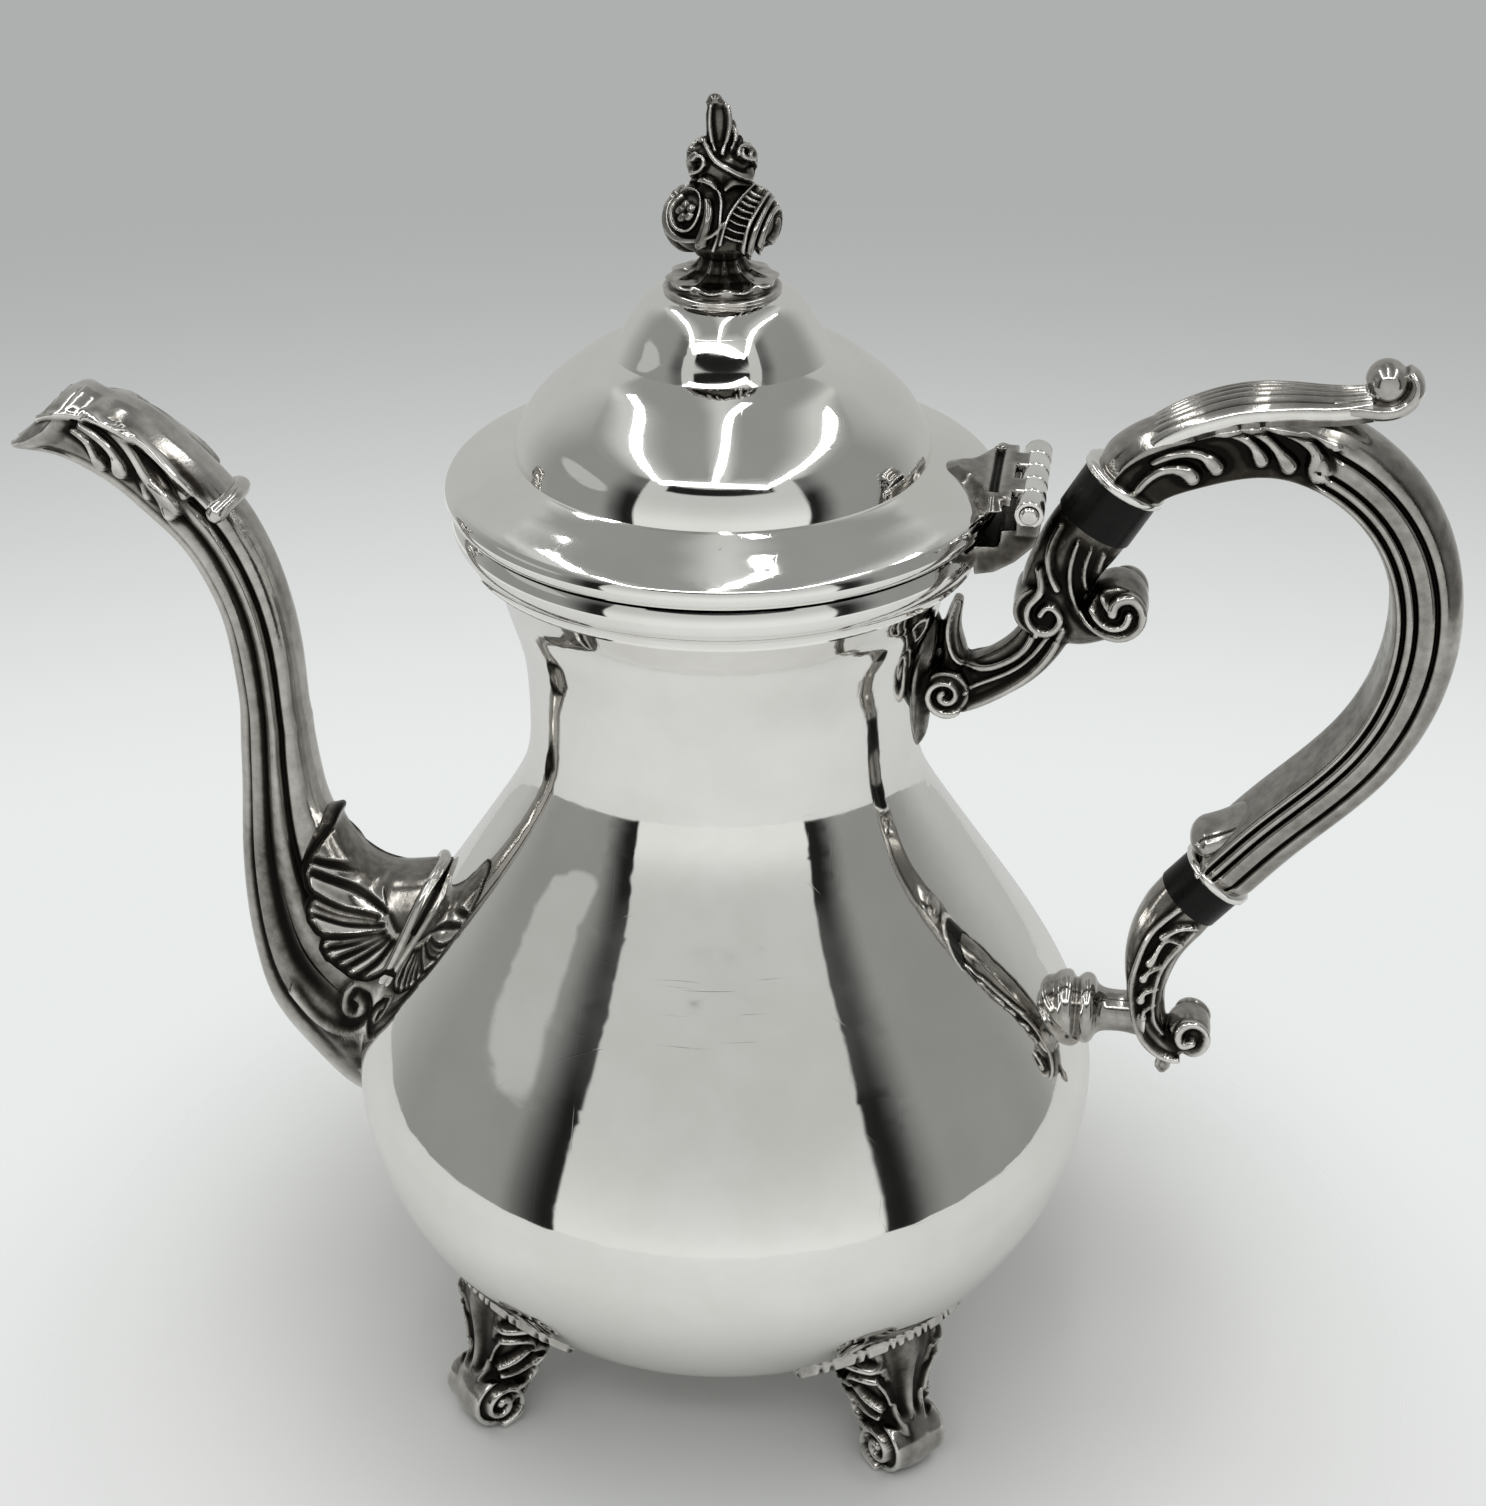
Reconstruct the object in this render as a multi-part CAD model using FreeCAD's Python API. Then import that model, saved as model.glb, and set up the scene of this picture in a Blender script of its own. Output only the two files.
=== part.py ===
import FreeCAD, Part
import math
import os
from FreeCAD import Placement, Rotation, Vector

os.makedirs("parts", exist_ok=True)

# Frame: millimetres, +Z up, +X toward the handle, spout toward -X, table at z = 0, body axis on Z.

# Body
belly_radius = 71.0
belly_height = 58.0
base_height = 10.0
neck_radius = 35.4
neck_height = 140.0
mouth_radius = 44.0
mouth_height = 181.5
lip_height = 8.0
body_wall = 1.2
bowl_power_height = 1.5
bowl_power_radius = 2.85

# Mouth band
band_reach = 3.5

# Lid
lid_gap = 0.4
lid_overhang = 4.5
lid_wall = 1.2
lid_rim_height = 4.4
flange_rise = 8.8
dome_radius = 36.2
dome_rise = 18.0
crown_radius = 18.8
crown_rise = 10.6
crown_flat = 9.6
bezel_clearance = 1.0
bezel_depth = 6.0

# Finial
finial_foot_radius = 10.4
finial_foot_rise = 5.6
finial_neck_radius = 3.6
finial_bud_radius = 9.4
flame_height = 11.6
petal_count = 10
stud_radius = 2.0
stud_hang = 5.5
nut_across = 7.0
nut_height = 3.0
washer_radius = 5.0
washer_thickness = 0.8

# Lid hinge
hinge_offset = 5.5
hinge_length = 28.0
hinge_knuckles = 5
hinge_radius = 2.5
hinge_pin_radius = 1.1
hinge_pin_clearance = 0.06
hinge_side_gap = 0.25
hinge_swing_gap = 0.5
hinge_leaf_thickness = 1.8

# Spout
spout_wall = 1.5
spout_half_thickness = 6.8
spout_half_width = 6.6
spout_root_half_width = 13.5
strainer_hole_radius = 1.6
strainer_pitch = 5.6
collar_thickness = 1.4

# Feet
foot_inset = 11.4
foot_roll_radius = 5.8
foot_roll_width = 13.0
foot_fan_width = 24.0
foot_plate_thickness = 1.2
foot_plate_width = 40.0
foot_plate_depth = 21.0

# Handle
post_rise = 22.0
grip_rise = 17.8
grip_half_thickness = 6.1
grip_half_width = 7.1
grip_wall = 1.5
ferrule_radius = 7.9
ferrule_length = 1.6
insulator_radius = 7.1
tenon_radius = 3.6
tenon_length = 6.0
pin_radius = 0.9
pin_cover = 1.9
hinge_to_socket = 10.8
post_radius = 4.7
post_flange_radius = 8.7
leaf_half_width = 6.4
leaf_ball_radius = 3.7

BIG = 400.0
foot_circle_radius = belly_radius - foot_inset
post_height = belly_height + post_rise
grip_top = mouth_height + grip_rise


def at(x, z):
    return Vector(x, 0, z)


def spline(points, start=None, end=None):
    curve = Part.BSplineCurve()
    if start is None:
        curve.interpolate(Points=points)
    else:
        curve.interpolate(Points=points, InitialTangent=start, FinalTangent=end)
    return curve


def direction(curve, share):
    u = curve.FirstParameter + share * (curve.LastParameter - curve.FirstParameter)
    return curve.tangent(u)[0]


def offset_spline(curve, distance, count=17):
    points = []
    for i in range(count):
        share = i / (count - 1)
        along = direction(curve, share)
        points.append(on_curve(curve, share) + Vector(along.z, 0, -along.x) * distance)
    return spline(points)


def on_curve(curve, share):
    return curve.value(curve.FirstParameter + share * (curve.LastParameter - curve.FirstParameter))


def line(a, b):
    return Part.LineSegment(a, b).toShape()


def polygon(points):
    return [line(a, b) for a, b in zip(points, points[1:])]


def revolved(edges):
    face = Part.Face(Part.Wire(Part.__sortEdges__(edges)))
    return face.revolve(Vector(0, 0, 0), Vector(0, 0, 1), 360)


def one_solid(shape):
    solids = sorted(shape.Solids, key=lambda item: item.Volume)
    return solids[-1]


def fused(shapes):
    return one_solid(shapes[0].multiFuse(shapes[1:]).removeSplitter())


def ring_section(centre, along, half_thickness, half_width, power, count=16):
    across = Vector(along.z, 0, -along.x)
    points = []
    for i in range(count):
        angle = 2 * math.pi * (i + 2) / count
        c = math.cos(angle)
        s = math.sin(angle)
        part_c = math.copysign(abs(c) ** (2 / power), c)
        part_s = math.copysign(abs(s) ** (2 / power), s)
        points.append(centre + across * (half_thickness * part_c) + Vector(0, half_width * part_s, 0))
    curve = Part.BSplineCurve()
    curve.interpolate(Points=points, PeriodicFlag=True)
    return Part.Wire(curve.toShape())


def tube(path, sizes, steps, grow=0.0, power=2.3, first=0.0, last=1.0):
    # Solid along a path; sizes are (place on path, half thickness, half width).
    wires = []
    for i in range(steps + 1):
        t = first + (last - first) * i / steps
        thick = blend(sizes, t, 1) + grow
        wide = blend(sizes, t, 2) + grow
        wires.append(ring_section(on_curve(path, t), direction(path, t), thick, wide, power))
    return Part.makeLoft(wires, True, False)


def blend(sizes, t, column):
    for low, high in zip(sizes, sizes[1:]):
        if t <= high[0]:
            share = (t - low[0]) / (high[0] - low[0])
            return low[column] + (high[column] - low[column]) * share
    return sizes[-1][column]


def disc(x, z, radius, half_width):
    return Part.makeCylinder(radius, 2 * half_width, Vector(x, -half_width, z), Vector(0, 1, 0))


def front(shape):
    return shape.common(Part.makeBox(2 * BIG, BIG, 2 * BIG, Vector(-BIG, -BIG, -BIG)))


def back(shape):
    return shape.common(Part.makeBox(2 * BIG, BIG, 2 * BIG, Vector(-BIG, 0, -BIG)))


def save(name, shape):
    shape.exportStep("parts/" + name + ".step")


# Body of revolution
def bowl_point(share):
    depth = belly_height - base_height
    radius = belly_radius * (1 - share ** bowl_power_height) ** (1 / bowl_power_radius)
    return at(radius, belly_height - share * depth)


def shoulder_point(rise, shrink):
    radius = belly_radius - shrink * (belly_radius - neck_radius)
    return at(radius, belly_height + rise * (neck_height - belly_height))


def flare_point(rise, grow):
    top = mouth_height - lip_height
    radius = neck_radius + grow * (mouth_radius - neck_radius)
    return at(radius, neck_height + rise * (top - neck_height))


body_points = [bowl_point(share) for share in (1.0, 0.97, 0.9, 0.75, 0.55, 0.3, 0.0)]
body_points += [shoulder_point(rise, shrink) for rise, shrink in
                ((0.122, 0.0), (0.195, 0.056), (0.28, 0.15), (0.378, 0.28), (0.488, 0.444),
                 (0.598, 0.611), (0.695, 0.756), (0.78, 0.876), (0.854, 0.955), (0.927, 0.992), (1.0, 1.0))]
body_points += [flare_point(rise, grow) for rise, grow in
                ((0.179, 0.01), (0.418, 0.1), (0.687, 0.39), (1.0, 1.0))]
body_line = spline(body_points, Vector(1, 0, 0), Vector(0.6, 0, 0.8))


def body_filled(grow=0.0):
    outline = body_line
    if grow:
        outline = offset_spline(body_line, grow, 49)
    foot = at(0, on_curve(outline, 0).z)
    rim = on_curve(outline, 1)
    top = mouth_height
    edges = [outline.toShape()]
    edges += polygon([rim, at(rim.x, top), at(0, top), foot])
    return revolved(edges)


body_outer = body_filled()
inner_points = []
for i in range(49):
    along = direction(body_line, i / 48)
    inner_points.append(on_curve(body_line, i / 48) + Vector(-along.z, 0, along.x) * body_wall)
inner_points[0] = at(0, base_height + body_wall)
inner_points[-1] = at(mouth_radius - body_wall, inner_points[-1].z)
inner_line = spline(inner_points)
rim_out = on_curve(body_line, 1)
body_edges = [body_line.toShape(), inner_line.toShape()]
body_edges += polygon([rim_out, at(mouth_radius, mouth_height), at(mouth_radius - body_wall, mouth_height),
                       inner_points[-1]])
body_edges += [line(body_points[0], inner_points[0])]
body_shell = revolved(body_edges)

# Mouth band
band_low = mouth_height - lip_height
band_out = mouth_radius + band_reach
band_edges = polygon([at(mouth_radius, band_low), at(mouth_radius + 0.35 * band_reach, band_low + 0.3)])
band_knee = at(mouth_radius + 0.7 * band_reach, band_low + 0.36 * lip_height)
band_edges += [Part.Arc(band_edges[-1].Vertexes[1].Point,
                        at(mouth_radius + 0.42 * band_reach, band_low + 0.24 * lip_height),
                        band_knee).toShape()]
band_top = at(mouth_radius + 0.78 * band_reach, mouth_height)
band_edges += [Part.Arc(band_knee, at(band_out, mouth_height - 0.3 * lip_height), band_top).toShape()]
band_edges += polygon([band_top, at(mouth_radius, mouth_height), at(mouth_radius, band_low)])
mouth_band = revolved(band_edges)

# Lid
lid_radius = mouth_radius + lid_overhang
lid_low = mouth_height + lid_gap
groove_z = lid_low + flange_rise
dome_top = groove_z + dome_rise
crown_top = dome_top + crown_rise
flange_line = spline([at(lid_radius - 0.9, lid_low + lid_rim_height), at(lid_radius - 5.0, lid_low + 6.3),
                      at(0.5 * (lid_radius + dome_radius) - 1.2, lid_low + 7.3),
                      at(dome_radius + 0.6, groove_z)], Vector(-0.75, 0, 0.65), Vector(-0.85, 0, 0.5))
dome_line = spline([at(dome_radius, groove_z + 0.2), at(dome_radius - 0.9, groove_z + 0.22 * dome_rise),
                    at(dome_radius - 3.0, groove_z + 0.43 * dome_rise),
                    at(dome_radius - 6.9, groove_z + 0.65 * dome_rise),
                    at(0.5 * (dome_radius + crown_radius) - 2.2, groove_z + 0.83 * dome_rise),
                    at(crown_radius, dome_top)], Vector(-0.05, 0, 1), Vector(-0.95, 0, 0.3))
crown_line = spline([at(crown_radius, dome_top), at(crown_radius - 1.9, dome_top + 0.33 * crown_rise),
                     at(crown_radius - 3.6, dome_top + 0.6 * crown_rise),
                     at(0.5 * (crown_radius + crown_flat) - 1.1, dome_top + 0.86 * crown_rise),
                     at(crown_flat, crown_top)], Vector(-0.6, 0, 0.8), Vector(-1, 0, 0.1))
rim_edge = Part.Arc(at(lid_radius - 2.2, lid_low), at(lid_radius, lid_low + 2.1),
                    on_curve(flange_line, 0)).toShape()
inner_flange, inner_dome, inner_crown = [offset_spline(curve, -lid_wall, 25)
                                         for curve in (flange_line, dome_line, crown_line)]
lid_hole = stud_radius + 0.3
crown_under = at(crown_flat - 0.4, crown_top - lid_wall)
crown_corner = at(crown_radius - lid_wall, dome_top - 0.6 * lid_wall)
dome_corner = at(dome_radius - lid_wall, groove_z - 0.8 * lid_wall)
rim_corner = at(lid_radius - 2.2, lid_low + lid_rim_height - 1.4)
inside_crown = spline([crown_under, on_curve(inner_crown, 0.5), crown_corner])
inside_dome = [on_curve(inner_dome, share) for share in (0.7, 0.5, 0.3, 0.15)]
inside_dome = spline([crown_corner] + inside_dome + [dome_corner])
inside_flange = spline([dome_corner, on_curve(inner_flange, 0.65), on_curve(inner_flange, 0.3), rim_corner])
lid_curves = (flange_line, dome_line, crown_line, inside_crown, inside_dome, inside_flange)
lid_edges = [rim_edge] + [curve.toShape() for curve in lid_curves]
lid_edges += polygon([on_curve(flange_line, 1), on_curve(dome_line, 0)])
lid_edges += polygon([on_curve(crown_line, 1), at(lid_hole, crown_top), at(lid_hole, crown_top - lid_wall),
                      crown_under])
lid_edges += polygon([rim_corner, at(lid_radius - 2.2, lid_low)])
lid_shell = revolved(lid_edges)

bezel_out = mouth_radius - body_wall - bezel_clearance
bezel_bottom = mouth_height - bezel_depth
bezel_tall = Part.makeCylinder(bezel_out, BIG, Vector(0, 0, bezel_bottom))
bezel_tall = bezel_tall.cut(Part.makeCylinder(bezel_out - lid_wall, BIG, Vector(0, 0, bezel_bottom)))
lid_bezel = sorted(bezel_tall.cut(lid_shell).Solids, key=lambda item: item.BoundBox.ZMin)[0]

# Finial and its fixing
foot_top = crown_top + finial_foot_rise
bud_middle = foot_top + 0.86 * finial_bud_radius
bud_top = bud_middle + 0.8 * finial_bud_radius
finial_base_edges = polygon([at(0, crown_top), at(finial_foot_radius - 1.0, crown_top)])
finial_base_edges += [Part.Arc(at(finial_foot_radius - 1.0, crown_top),
                               at(finial_foot_radius - 0.2, crown_top + 0.9),
                               at(finial_foot_radius - 1.2, crown_top + 1.7)).toShape()]
finial_base_edges += [Part.Arc(at(finial_foot_radius - 1.2, crown_top + 1.7),
                               at(0.6 * finial_foot_radius, crown_top + 0.5 * finial_foot_rise),
                               at(finial_neck_radius, foot_top)).toShape()]
finial_base_edges += polygon([at(finial_neck_radius, foot_top), at(finial_neck_radius, foot_top + 1.2),
                              at(0, foot_top + 1.2), at(0, crown_top)])
finial_pieces = [revolved(finial_base_edges)]
for i in range(petal_count):
    angle = 2 * math.pi * i / petal_count
    reach = finial_foot_radius - 1.6
    petal = Part.makeSphere(1.6, Vector(reach * math.cos(angle), reach * math.sin(angle), crown_top + 0.4))
    finial_pieces.append(petal)
bud_low = foot_top + 0.4
bud_line = spline([at(0, bud_low), at(0.62 * finial_bud_radius, bud_low + 1.0),
                   at(0.96 * finial_bud_radius, bud_middle - 2.4), at(finial_bud_radius, bud_middle + 0.6),
                   at(0.86 * finial_bud_radius, bud_middle + 0.5 * finial_bud_radius),
                   at(0.5 * finial_bud_radius, bud_top - 0.8), at(0, bud_top)])
finial_pieces.append(revolved([bud_line.toShape(), line(at(0, bud_top), at(0, bud_low))]))
flame_path = spline([at(0, bud_top - 2.4), at(-0.6, bud_top + 0.3 * flame_height),
                     at(-1.2, bud_top + 0.62 * flame_height), at(0.2, bud_top + flame_height)])
flame_sizes = ((0.0, 5.2, 5.6), (0.2, 4.6, 5.0), (0.4, 4.8, 3.6), (0.7, 3.4, 2.4), (1.0, 0.9, 0.8))
finial_pieces.append(tube(flame_path, flame_sizes, 6, 0.0, 2.0))
for side in (-1, 1):
    finial_pieces.append(disc(side * 0.62 * finial_bud_radius, bud_top + 1.0, 1.9, 2.2))
finial = fused(finial_pieces)
stud_low = crown_top - lid_wall - stud_hang
stud_top = crown_top + finial_foot_rise
finial_stud = Part.makeCylinder(stud_radius, stud_top - stud_low, Vector(0, 0, stud_low))
finial = finial.cut(Part.makeCylinder(stud_radius, stud_top - crown_top, Vector(0, 0, crown_top)))
finial = finial.cut(Part.makeBox(BIG, BIG, BIG, Vector(-BIG / 2, -BIG / 2, crown_top - BIG)))
washer_low = crown_top - lid_wall - washer_thickness
finial_washer = Part.makeCylinder(washer_radius, washer_thickness, Vector(0, 0, washer_low))
finial_washer = finial_washer.cut(Part.makeCylinder(lid_hole, BIG, Vector(0, 0, washer_low - 1)))
nut_low = washer_low - nut_height
nut_corner = nut_across / math.sqrt(3)
nut_points = []
for i in range(7):
    turn = math.pi / 3 * i
    nut_points.append(Vector(nut_corner * math.cos(turn), nut_corner * math.sin(turn), nut_low))
nut_wire = Part.makePolygon(nut_points)
finial_nut = Part.Face(nut_wire).extrude(Vector(0, 0, nut_height))
finial_nut = finial_nut.cut(Part.makeCylinder(stud_radius, BIG, Vector(0, 0, nut_low - 1)))

# Lid hinge
hinge_x = lid_radius + hinge_offset
hinge_z = lid_low + 5.5
knuckle = hinge_length / hinge_knuckles
lid_filled = one_solid(lid_shell.fuse(Part.makeCylinder(lid_radius - 2.2, 3.0, Vector(0, 0, lid_low))))


def knuckle_span(index):
    low = -hinge_length / 2 + index * knuckle
    trim_low = hinge_side_gap / 2 if index > 0 else 0
    trim_high = hinge_side_gap / 2 if index < hinge_knuckles - 1 else 0
    return low + trim_low, knuckle - trim_low - trim_high


def hinge_rod(radius, low, length):
    return Part.makeCylinder(radius, length, Vector(hinge_x, low, hinge_z), Vector(0, 1, 0))


def leaf_with_knuckles(plate, indices, tongue_x, tongue_z, tongue_dx, tongue_dz):
    shapes = [plate.cut(hinge_rod(hinge_radius + hinge_swing_gap, -BIG, 2 * BIG))]
    for index in indices:
        low, length = knuckle_span(index)
        shapes.append(Part.makeBox(tongue_dx, length, tongue_dz, Vector(tongue_x, low, tongue_z)))
        shapes.append(hinge_rod(hinge_radius, low, length))
    return fused(shapes)


body_knuckles = range(0, hinge_knuckles, 2)
lid_knuckles = range(1, hinge_knuckles, 2)
leaf_top = hinge_z + 0.9 * hinge_radius
leaf_low = leaf_top - hinge_leaf_thickness
lid_plate_in = dome_radius + 3.6
lid_plate = Part.makeBox(hinge_x - lid_plate_in, 0.86 * hinge_length, leaf_top - lid_low - 2.0,
                         Vector(lid_plate_in, -0.43 * hinge_length, lid_low + 2.0))
lid_plate = lid_plate.common(Part.makeCylinder(lid_radius + 0.3, BIG, Vector(0, 0, lid_low)).fuse(
    Part.makeBox(hinge_x, hinge_length, hinge_leaf_thickness, Vector(0, -hinge_length / 2, leaf_low))))
plate_pieces = lid_plate.cut(lid_filled)
lid_plate = sorted(plate_pieces.Solids, key=lambda item: item.BoundBox.ZMax * 1000 + item.Volume)[-1]
hinge_lid_leaf = leaf_with_knuckles(lid_plate, lid_knuckles, hinge_x - hinge_radius - 1.2, leaf_low,
                                    hinge_radius + 1.2, hinge_leaf_thickness)
bore = hinge_pin_radius + hinge_pin_clearance
hinge_lid_leaf = hinge_lid_leaf.cut(hinge_rod(bore, -BIG, 2 * BIG))

bracket_out = hinge_x - 0.2 * hinge_radius
bracket_in = lid_radius + hinge_swing_gap
bracket_low = mouth_height - 0.8 * lip_height
body_plate = Part.makeBox(bracket_out - bracket_in, hinge_length, hinge_z - bracket_low,
                          Vector(bracket_in, -hinge_length / 2, bracket_low))
body_ledge = Part.makeBox(bracket_out - mouth_radius + 12, hinge_length, mouth_height - bracket_low,
                          Vector(mouth_radius - 12, -hinge_length / 2, bracket_low))
body_plate = body_plate.fuse(body_ledge)
body_plate = body_plate.cut(Part.makeCylinder(mouth_radius, BIG, Vector(0, 0, 0))).cut(mouth_band)
wedge_low = at(bracket_in + 1.0, bracket_low - 1)
wedge = Part.Face(Part.makePolygon([wedge_low, at(bracket_out + 5, bracket_low - 1),
                                    at(bracket_out + 5, hinge_z - hinge_radius), wedge_low]))
body_plate = body_plate.cut(wedge.extrude(Vector(0, BIG, 0)).translated(Vector(0, -BIG / 2, 0)))
body_plate = one_solid(body_plate)
hinge_body_leaf = leaf_with_knuckles(body_plate, body_knuckles, bracket_in, hinge_z - hinge_radius,
                                     hinge_x - bracket_in, hinge_leaf_thickness)
hinge_pin = hinge_rod(hinge_pin_radius, -hinge_length / 2 - 0.5, hinge_length + 1.0)
hinge_body_leaf = hinge_body_leaf.cut(hinge_pin)

# Spout
spout_stations = ((-15.0, 14.0), (3.0, 19.5), (10.6, 28.8), (13.6, 40.5), (14.9, 51.0), (15.2, 63.7),
                  (15.1, 74.5), (15.4, 84.4), (16.7, 94.9), (19.6, 104.3), (24.2, 112.7), (31.0, 120.0),
                  (40.2, 127.2), (50.0, 128.9), (59.0, 125.6))
spout_path = spline([at(-belly_radius - out, belly_height + up) for out, up in spout_stations])
root = spout_root_half_width
spout_sizes = ((0.0, 26.0, 1.05 * root), (0.1, 21.5, root), (0.165, 16.2, 0.9 * root),
               (0.24, 11.6, 0.75 * root), (0.31, 8.9, 0.62 * root),
               (0.38, spout_half_thickness + 0.7, 1.1 * spout_half_width),
               (0.5, spout_half_thickness - 0.2, spout_half_width),
               (0.62, spout_half_thickness + 0.1, spout_half_width),
               (0.78, spout_half_thickness + 1.0, 1.08 * spout_half_width),
               (0.88, spout_half_thickness + 0.9, 1.15 * spout_half_width),
               (0.94, 0.9 * spout_half_thickness, spout_half_width),
               (1.0, 0.25 * spout_half_thickness, 0.4 * spout_half_width))
spout_steps = 22
spout_solid = tube(spout_path, spout_sizes, spout_steps)
spout_bore = tube(spout_path, spout_sizes, spout_steps, -spout_wall)
lip_top = at(-belly_radius - 44.6, belly_height + 137.9)
lip_tip = at(-belly_radius - 59.5, belly_height + 124.6)
lip_slope = (lip_tip - lip_top).normalize()
lip_normal = Vector(lip_slope.z, 0, -lip_slope.x)
lip_cut = Part.makeBox(BIG, BIG, BIG, Vector(-BIG / 2, -BIG / 2, 0))
lip_cut.Placement = Placement(lip_top, Rotation(Vector(0, 0, 1), lip_normal))
cap_roll = disc(-belly_radius - 18.4, belly_height + 116.9, 2.0, 0.7 * spout_half_width)
spout_outer = one_solid(spout_solid.cut(lip_cut))
spout_casting = fused([spout_outer, cap_roll])
spout_hollow = one_solid(spout_casting.cut(spout_bore).cut(body_outer))
spout_front_half = one_solid(front(spout_hollow))
spout_back_half = one_solid(back(spout_hollow))

# Shell collar: its outline from the side, and from above, round the root of the spout
collar_side = ((5.4, 58.5), (8.5, 51.5), (11.6, 45.8), (15.0, 37.4), (16.8, 27.8), (14.0, 16.0), (9.0, 8.0),
               (-20.0, 8.0), (-20.0, 44.0), (-13.5, 41.6), (-7.0, 40.6), (-0.5, 42.3), (3.4, 48.0),
               (5.4, 58.5))
side_points = [at(-belly_radius - out, belly_height + up) for out, up in collar_side]
side_face = Part.Face(Part.makePolygon(side_points))
side_prism = side_face.extrude(Vector(0, 2 * BIG, 0)).translated(Vector(0, -BIG, 0))
collar_half = ((-20.0, 1.06 * root), (-4.0, root), (4.0, 0.9 * root), (11.0, 0.72 * root),
               (18.0, 0.58 * root))
above_points = [Vector(-belly_radius - out, width + collar_thickness, 0) for out, width in collar_half]
above_points += [Vector(point.x, -point.y, 0) for point in reversed(above_points)]
above_prism = Part.Face(Part.makePolygon(above_points + above_points[:1])).extrude(Vector(0, 0, BIG))
collar_block = one_solid(side_prism.common(above_prism))
spout_shell_collar = one_solid(collar_block.cut(body_outer).cut(spout_casting))

holes = []
strainer_axis = Vector(-0.94, 0, 0.34)
strainer_up = Vector(0.34, 0, 0.94)
strainer_centre = at(-belly_radius + 2.0, belly_height + 17.0)
for row in range(-2, 3):
    for k in range(5 - abs(row)):
        side = (k - (4 - abs(row)) / 2) * strainer_pitch * 0.86
        up = row * strainer_pitch * 0.9
        start = strainer_centre + strainer_up * up + Vector(0, side, 0) - strainer_axis * 12
        holes.append(Part.makeCylinder(strainer_hole_radius, 24, start, strainer_axis))
body_shell = one_solid(body_shell.cut(Part.makeCompound(holes)))

# Feet
side_line = [at(foot_circle_radius + out, up) for out, up in
             ((-4.0, 38.0), (0.6, 24.0), (2.6, 14.0), (4.2, foot_roll_radius), (-0.4, 0.0), (-6.5, 3.4),
              (-12.5, 9.0), (-17.5, 15.5), (-22.0, 24.0), (-22.0, 38.0))]
side_wire = Part.makePolygon(side_line + side_line[:1])
side_slab = Part.Face(side_wire).extrude(Vector(0, 60, 0)).translated(Vector(0, -30, 0))
fan_half = foot_fan_width / 2
roll_half = foot_roll_width / 2
fan_right = ((0.9 * roll_half, 0), (0.9 * roll_half, 11), (0.82 * fan_half, 19), (fan_half, 27),
             (fan_half, 38))
fan_points = [Vector(0, y, z) for y, z in fan_right]
fan_points += [Vector(0, -y, z) for y, z in reversed(fan_right)]
fan_wire = Part.makePolygon(fan_points + fan_points[:1])
fan_slab = Part.Face(fan_wire).extrude(Vector(BIG, 0, 0))
foot_shape = one_solid(side_slab.common(fan_slab))
toe_roll = disc(foot_circle_radius - 1.2, foot_roll_radius - 0.3, foot_roll_radius, roll_half)
heel_roll = disc(foot_circle_radius - 15.0, 15.5, 3.2, 0.8 * roll_half)
foot_shape = fused([foot_shape, toe_roll, heel_roll])
foot_shape = foot_shape.cut(Part.makeBox(BIG, BIG, BIG, Vector(-BIG / 2, -BIG / 2, -BIG)))
plated_body = body_filled(foot_plate_thickness)
foot_shape = one_solid(foot_shape.cut(plated_body))
plate_prism = Part.makeCylinder(1.0, 30.0, Vector(0, 0, base_height + 1.5))
stretch = FreeCAD.Matrix()
stretch.scale(foot_plate_depth / 2, foot_plate_width / 2, 1)
plate_prism = plate_prism.transformGeometry(stretch)
plate_prism.translate(Vector(foot_circle_radius - 10.5, 0, 0))
plate_shape = one_solid(plated_body.common(plate_prism).cut(body_outer))
foot_angles = {"back_handle": 45, "back_spout": 135, "front_spout": 225, "front_handle": 315}

# Handle line, from the belly radius and between the post axis and the top of the grip;
# its upper end keeps clear of the lid hinge
handle_span = grip_top - post_height


def on_handle(out, share):
    return at(belly_radius + out, post_height + share * handle_span)


upper_seat = at(hinge_x + hinge_to_socket, post_height + 0.8466 * handle_span)
upper_end = upper_seat + at(4.3, 0.0629 * handle_span)
lower_end = on_handle(20.3, 0.2674)
lower_seat = on_handle(16.0, 0.222)
upper_axis = (upper_end - upper_seat).normalize()
lower_axis = (lower_end - lower_seat).normalize()
grip_points = [upper_end - upper_axis * 2.0, upper_end + upper_axis * 3.0]
grip_points += [on_handle(out, share) for out, share in
                ((8.0, 0.973), (23.0, 1.0), (43.5, 0.907), (51.3, 0.7125), (44.2, 0.507), (29.4, 0.361))]
grip_points += [lower_end + lower_axis * 3.0, lower_end - lower_axis * 2.0]
grip_path = spline(grip_points)
grip_sizes = ((0.0, 0.92 * insulator_radius, 0.95 * insulator_radius),
              (0.15, grip_half_thickness, grip_half_width), (0.7, grip_half_thickness, grip_half_width),
              (1.0, 0.98 * grip_half_thickness, 0.9 * grip_half_width))
grip_solid = tube(grip_path, grip_sizes, 18, 0.0, 2.5)
grip_hollow = tube(grip_path, grip_sizes, 16, -grip_wall, 2.5, 0.07, 0.94)


def rod(base, axis, radius, length):
    return Part.makeCylinder(radius, length, base, axis)


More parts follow.
